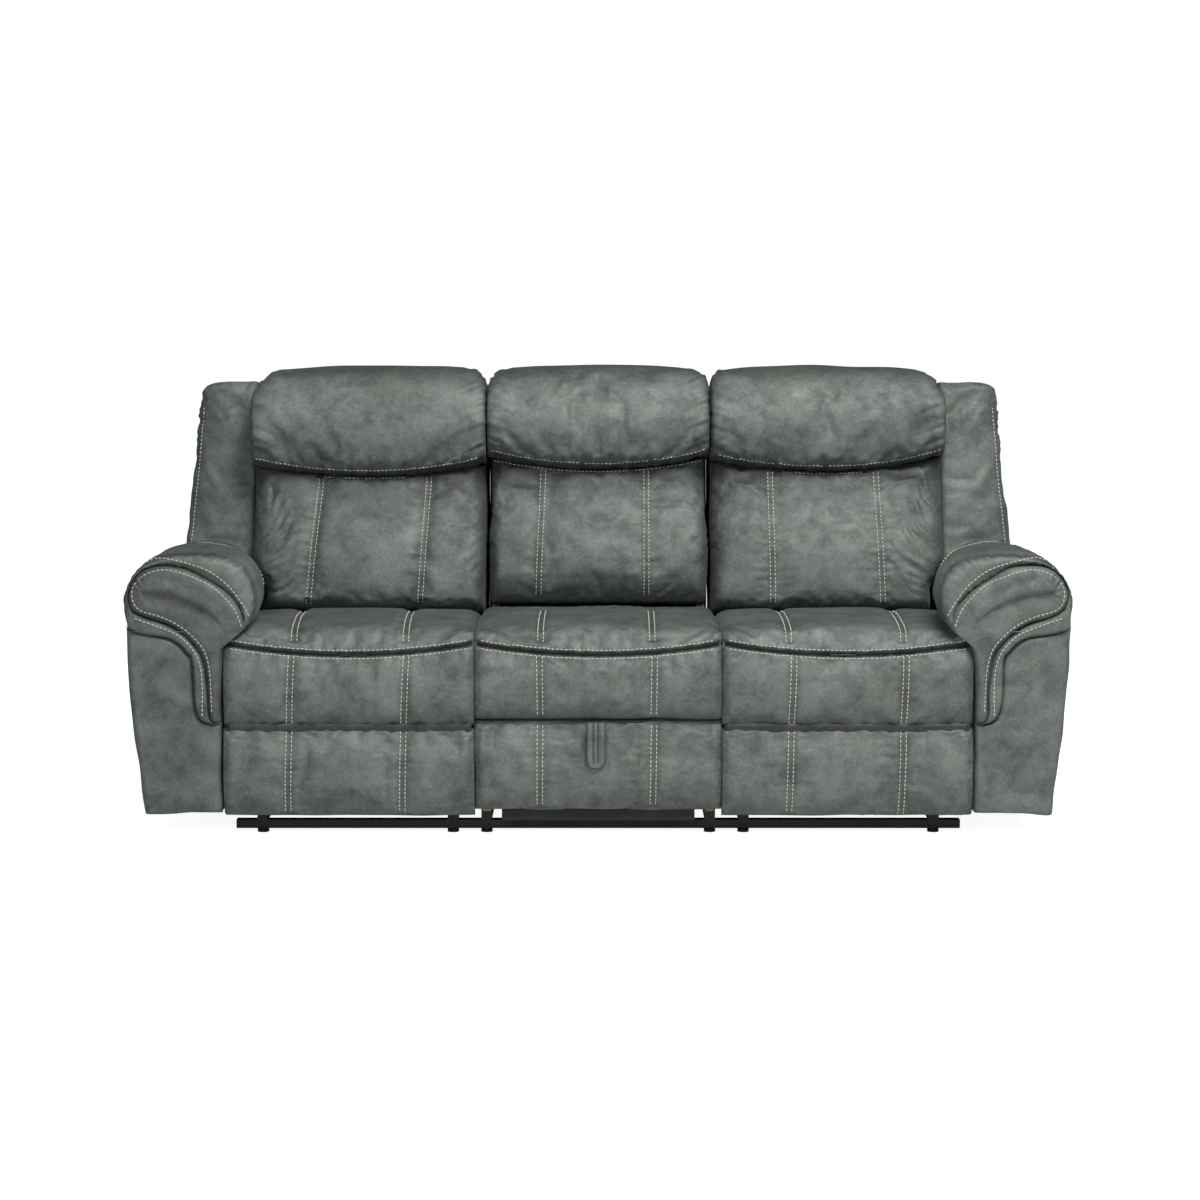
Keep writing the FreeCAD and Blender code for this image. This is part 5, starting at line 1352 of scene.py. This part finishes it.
for side, sign, _ in SIDES:
    roll, roll_rows = make_roll(f"{side}_roll_cover", sign, 121 + sign)
    rim = GROOVE_TOP + GROOVE_TAIL[1:]
    lobe = ruled_pad(
        f"{side}_arm_front_pad", sign, rim, GROOVE_LOW, 220, 64, -0.465, -0.4735, -0.499, 0.03, 131 + sign
    )
    points, _ = vertices(lobe)
    gap, share = distance_to(points * [1, 0, 1], front_line(FOLD, sign, 40) * [1, 0, 1])
    fold_x, fold_z = smooth_path(FOLD, 40)[::-1].T
    upper = points[:, 2] > np.interp(sign * points[:, 0], fold_x, fold_z)
    fade = np.clip(share / 0.05, 0, 1) * np.clip((1 - share) / 0.4, 0, 1) * (points[:, 1] < -0.474)
    bulge = np.where(upper, 0.006, -0.0045) * bell(gap - 0.01, 0.016)
    push(lobe, fade * (bulge - 0.003 * bell(gap, 0.0035)))
    folds = [(front_line(pleat, sign, 5) * [1, 0, 1] - [0, 0.493, 0], 0.0045, 0.0042) for pleat in PLEATS]
    crease(lobe, folds)
    rim = [(1.084, 0.55)] + GROOVE_LOW[1:]
    band = ruled_pad(
        f"{side}_arm_band", sign, rim, BAND_EDGE, 200, 24, -0.465, -0.4735, -0.4925, 0.01, 134 + sign
    )
    panel = ruled_pad(
        f"{side}_arm_front_panel", sign,
        OUTER_EDGE, INNER_EDGE, 120, 54, -0.46, -0.471, -0.4862, 0.016, 137 + sign
    )
    rows = roll_rows
    rows.append(stitch_row(tree_of(lobe), front_line(INNER_ROW, sign, 160), INTO))
    rows.append(stitch_row(tree_of(band), front_line(BELOW_ROW, sign, 100), INTO))
    # Painted shade: the left arm's front pads are darkened all over, and every pad darkens towards the groove
    # behind its rim.
    for pad, rim_y, left_arm_shade in ((lobe, -0.485, 0.42), (band, -0.484, 0.36), (panel, -0.479, 0.2)):
        points, _ = vertices(pad)
        shaded(pad, np.maximum(left_arm_shade if sign < 0 else 0.05, np.clip((points[:, 1] - rim_y) / 0.008, 0, 1)))
    dress(roll, 0.8, "base", f"{side}_arm_pad")
    for piece, fill in ((lobe, 0.7), (band, 0.9), (panel, 0.9)):
        dress(piece, fill, "base")
    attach(stitches(f"{side}_arm_stitches", rows), "base")


def make_arm_body(name, sign, low, high, front, rear, knee, seed):
    """The arm box's cover as a stack of plan outlines, leaning out with height on the outer side."""
    heights, draws = stations(low, high, 0.01, 0.006, 0.02)
    loops = []
    for z, draw in zip(heights, draws):
        outer = knee(z) - 0.004 * draw
        inner = 0.8705 + 0.004 * draw
        y0 = front + 0.004 * draw
        y1 = rear - 0.004 * draw
        middle = 0.5 * (inner + outer)
        side_ys = (y0 + 0.15 * (y1 - y0), 0.5 * (y0 + y1), y1 - 0.15 * (y1 - y0))
        bowed = outer + 0.003 * math.sin(math.pi * (z - low) / (high - low))
        steps = [
            (inner, y0 + 0.012), (inner + 0.012, y0), (middle, y0), (outer - 0.014, y0), (outer, y0 + 0.014),
            *((bowed, y) for y in side_ys),
            (outer, y1 - 0.016), (outer - 0.016, y1), (middle, y1), (inner + 0.016, y1), (inner, y1 - 0.016),
            *((inner, y) for y in side_ys[::-1]),
        ]
        loop = smooth_path(steps, 160, closed=True)
        loops.append(np.column_stack([sign * loop[:, 0], loop[:, 1], np.full(len(loop), z)]))
    piece = closed_form(name, np.array(loops))
    unevenness(piece, 0.001, 0.22, seed)
    return piece


def open_window(body, sign):
    """Cut the cover open round the release lever's bezel."""
    across = (sign * 1.045, sign * 1.12)
    corners = [(x, y, z) for x in across for y in (-0.1758, -0.0442) for z in (0.3382, 0.4058)]
    faces = [(0, 1, 3, 2), (4, 6, 7, 5), (0, 4, 5, 1), (2, 3, 7, 6), (0, 2, 6, 4), (1, 5, 7, 3)]
    cutter = cloth_mesh("bezel_window", np.array(corners), faces)
    face_out(cutter)
    cut = body.modifiers.new("window", "BOOLEAN")
    cut.operation = "DIFFERENCE"
    cut.solver = "EXACT"
    cut.object = cutter
    opened = bpy.data.meshes.new_from_object(body.evaluated_get(bpy.context.evaluated_depsgraph_get()))
    body.modifiers.clear()
    body.data = opened
    bpy.data.objects.remove(cutter)


def arm_side(z):
    """The outer face of the arm box by height."""
    return float(np.interp(z, [0.062, 0.3, 0.486], [1.046, 1.078, 1.085]))


def step_side(z):
    """The outer face of the low step behind the arm box, one millimetre further in."""
    return arm_side(z) - 0.001


for side, sign, _ in SIDES:
    body = make_arm_body(f"{side}_arm_cover", sign, 0.0622, 0.4865, -0.474, 0.1655, arm_side, 141 + sign)
    open_window(body, sign)
    step = make_arm_body(f"{side}_arm_rear_cover", sign, 0.0622, 0.2605, 0.14, 0.3505, step_side, 145 + sign)
    dress(body, 0.95, "base", *(["arm_covers"] if sign < 0 else []))
    dress(step, 0.95, "base")


# Pull tab: a folded strap of the same cloth, stitched along its length, that
# hangs from the gap above the drawer.
def make_tab():
    """The tab: a flat strap with a round tip, a raised rim and two grooves down its face."""
    middle, half, top, tip = TAB_MIDDLE, TAB_HALF, 0.2765, TAB_TIP
    rows, columns = 60, 26
    v, u = np.meshgrid(np.linspace(0, 1, rows), np.linspace(-1, 1, columns), indexing="ij")
    z_round = tip + half
    below = np.clip((z_round - (top + (tip - top) * v)) / half, 0, 1)
    width = half * np.sqrt(np.clip(1 - below**2, 0.0004, 1))
    z = top + (tip - top) * v
    x = middle + u * width
    near_rim = 1 - rounded((1 - np.abs(u)) * width, 0.005)
    grooves = sum(bell(x - middle - place, 0.0014) for place in (-0.0055, 0.0055))
    ridge = bell(np.abs(x - middle) - 0.015, 0.0035)
    body = np.clip((z - tip - 0.012) / 0.01, 0, 1)
    front = -0.498 + 0.004 * near_rim + 0.003 * grooves * body - 0.002 * ridge
    back = np.where((np.abs(u) >= 1) | (v >= 1) | (v <= 0), front, -0.4925)
    piece = envelope("pull_tab_strap", np.stack([x, front, z], -1), np.stack([x, back, z], -1))
    x, y, z = vertices(piece)[0].T
    marks = sum(bell(x - middle - place, 0.0018) for place in (-0.0055, 0.0055))
    # Painted shade in the two grooves down the strap and on its sides and back.
    shaded(piece, np.maximum(0.9 * marks * (z > tip + 0.012), y > -0.494))
    return piece


tab = make_tab()
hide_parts("pull_tab")
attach(tab, "tab")


# Hard parts: powder-coated rails and mechanism, sawn timber, woven webbing,
# zinc runners, moulded cup liners and levers keep their CAD shapes.
def coated_steel(name, colour, metallic, roughness, scale):
    material, tree, shader = nodes_of(name)
    spots = noise(tree, scale, 4.0, 0.6)
    dark = tuple(0.75 * part for part in colour)
    tree.links.new(ramp(tree, spots, [(0.3, dark), (0.7, colour)]), shader.inputs["Base Color"])
    gloss = ramp(tree, spots, [(0.3, roughness * 0.85), (0.7, roughness * 1.15)])
    tree.links.new(gloss, shader.inputs["Roughness"])
    shader.inputs["Metallic"].default_value = metallic
    bumped(tree, shader, [(noise(tree, 600.0, 2.0, 0.6), 0.12, 0.0003)])
    return material


def sawn_timber():
    material, tree, shader = nodes_of("sawn_timber")
    grain = noise(tree, 9.0, 6.0, 0.6, (1.0, 14.0, 14.0), 0.8)
    fine = noise(tree, 60.0, 4.0, 0.6, (0.6, 8.0, 8.0))
    tones = [(0.3, (0.33, 0.21, 0.115)), (0.55, (0.49, 0.345, 0.2)), (0.75, (0.58, 0.42, 0.26))]
    colour = ramp(tree, grain, tones)
    colour = mixed(tree, "MULTIPLY", 0.4, colour, ramp(tree, fine, [(0.3, 0.6), (0.7, 1.0)]))
    tree.links.new(colour, shader.inputs["Base Color"])
    shader.inputs["Roughness"].default_value = 0.72
    bumped(tree, shader, [(fine, 0.3, 0.0008)])
    return material


def woven_strap():
    material, tree, shader = nodes_of("woven_strap")
    where = tree.nodes.new("ShaderNodeTexCoord")
    weave = tree.nodes.new("ShaderNodeTexWave")
    weave.inputs["Scale"].default_value = 160.0
    weave.bands_direction = "DIAGONAL"
    tree.links.new(where.outputs["Object"], weave.inputs["Vector"])
    tone = ramp(tree, weave.outputs["Fac"], [(0.0, 0.018), (1.0, 0.055)])
    tree.links.new(tone, shader.inputs["Base Color"])
    shader.inputs["Roughness"].default_value = 0.85
    bumped(tree, shader, [(weave.outputs["Fac"], 0.5, 0.0006)])
    return material


def felted_lining():
    material, tree, shader = nodes_of("felted_lining")
    fibres = noise(tree, 380.0, 5.0, 0.7, (1.0, 1.0, 1.0), 0.6)
    tree.links.new(ramp(tree, fibres, [(0.35, 0.014), (0.7, 0.036)]), shader.inputs["Base Color"])
    shader.inputs["Roughness"].default_value = 0.95
    bumped(tree, shader, [(fibres, 0.4, 0.0005)])
    return material


black_steel = coated_steel("black_powder_coat", (0.022, 0.023, 0.024), 0.35, 0.46, 90.0)
zinc = coated_steel("zinc_plate", (0.52, 0.53, 0.54), 1.0, 0.34, 40.0)
black_plastic = coated_steel("black_moulding", (0.02, 0.02, 0.021), 0.0, 0.5, 240.0)
finishes = {
    "black_steel": black_steel,
    "zinc_steel": zinc,
    "black_plastic": black_plastic,
    "timber": sawn_timber(),
    "webbing": woven_strap(),
    "lining": felted_lining(),
    "suede": suede,
}
for part in frame["record"]["subparts"]:
    node = frame["nodes"][part["node"]]
    node.data.materials.clear()
    node.data.materials.append(finishes[part["material_slot"]])


# Studio: a white floor and surroundings, a strong light high in front on the
# right and a weak fill, with the camera at the photograph's place.
def make_floor():
    mesh = bpy.data.meshes.new("studio_floor")
    mesh.from_pydata([(-12, -12, 0), (12, -12, 0), (12, 12, 0), (-12, 12, 0)], [], [(0, 1, 2, 3)])
    floor = bpy.data.objects.new("studio_floor", mesh)
    bpy.context.scene.collection.objects.link(floor)
    material, tree, shader = nodes_of("studio_white")
    shader.inputs["Base Color"].default_value = (0.86, 0.86, 0.86, 1.0)
    shader.inputs["Roughness"].default_value = 0.9
    shader.inputs["Specular IOR Level"].default_value = 0.0
    path = tree.nodes.new("ShaderNodeLightPath")
    glow = tree.nodes.new("ShaderNodeMath")
    glow.operation = "MULTIPLY"
    glow.inputs[1].default_value = 0.93
    tree.links.new(path.outputs["Is Camera Ray"], glow.inputs[0])
    tree.links.new(glow.outputs["Value"], shader.inputs["Emission Strength"])
    shader.inputs["Emission Color"].default_value = (1.0, 1.0, 1.0, 1.0)
    mesh.materials.append(material)


make_floor()


def softbox(name, place, target, size, power, colour):
    """A rectangular area light aimed at a target."""
    light = bpy.data.lights.new(name, "AREA")
    light.shape = "RECTANGLE"
    light.size, light.size_y = size
    light.energy = power
    light.color = colour
    lamp = bpy.data.objects.new(name, light)
    bpy.context.scene.collection.objects.link(lamp)
    lamp.location = place
    lamp.rotation_euler = (Vector(target) - Vector(place)).to_track_quat("-Z", "Y").to_euler()


softbox("key_light", (1.3, -2.6, 4.4), (0.0, 0.0, 0.5), (2.6, 1.6), 250.0, (1.0, 0.985, 0.96))
softbox("front_fill", (-1.2, -5.4, 2.0), (0.0, 0.0, 0.5), (2.0, 1.4), 56.0, (0.97, 0.99, 1.0))

world = bpy.data.worlds.new("studio_world")
bpy.context.scene.world = world
world.use_nodes = True
tree = world.node_tree
background = tree.nodes["Background"]
background.inputs["Color"].default_value = (0.96, 0.98, 1.0, 1.0)
path = tree.nodes.new("ShaderNodeLightPath")
seen = tree.nodes.new("ShaderNodeMapRange")
seen.inputs["To Min"].default_value = 0.09
seen.inputs["To Max"].default_value = 1.05
tree.links.new(path.outputs["Is Camera Ray"], seen.inputs["Value"])
tree.links.new(seen.outputs["Result"], background.inputs["Strength"])

scene = bpy.context.scene
scene.view_settings.view_transform = "Standard"
lens = bpy.data.cameras.new("camera")
camera = bpy.data.objects.new("camera", lens)
scene.collection.objects.link(camera)
scene.camera = camera
camera.location = (0.0, -7.49, 1.25)
camera.rotation_euler = (math.radians(90.0 - 5.6315), 0.0, 0.0)
lens.sensor_width = 36.0
lens.lens = 36.0 * 3064.0 / 1200.0
lens.shift_x = 0.0015
lens.clip_end = 60.0

bpy.context.view_layer.update()
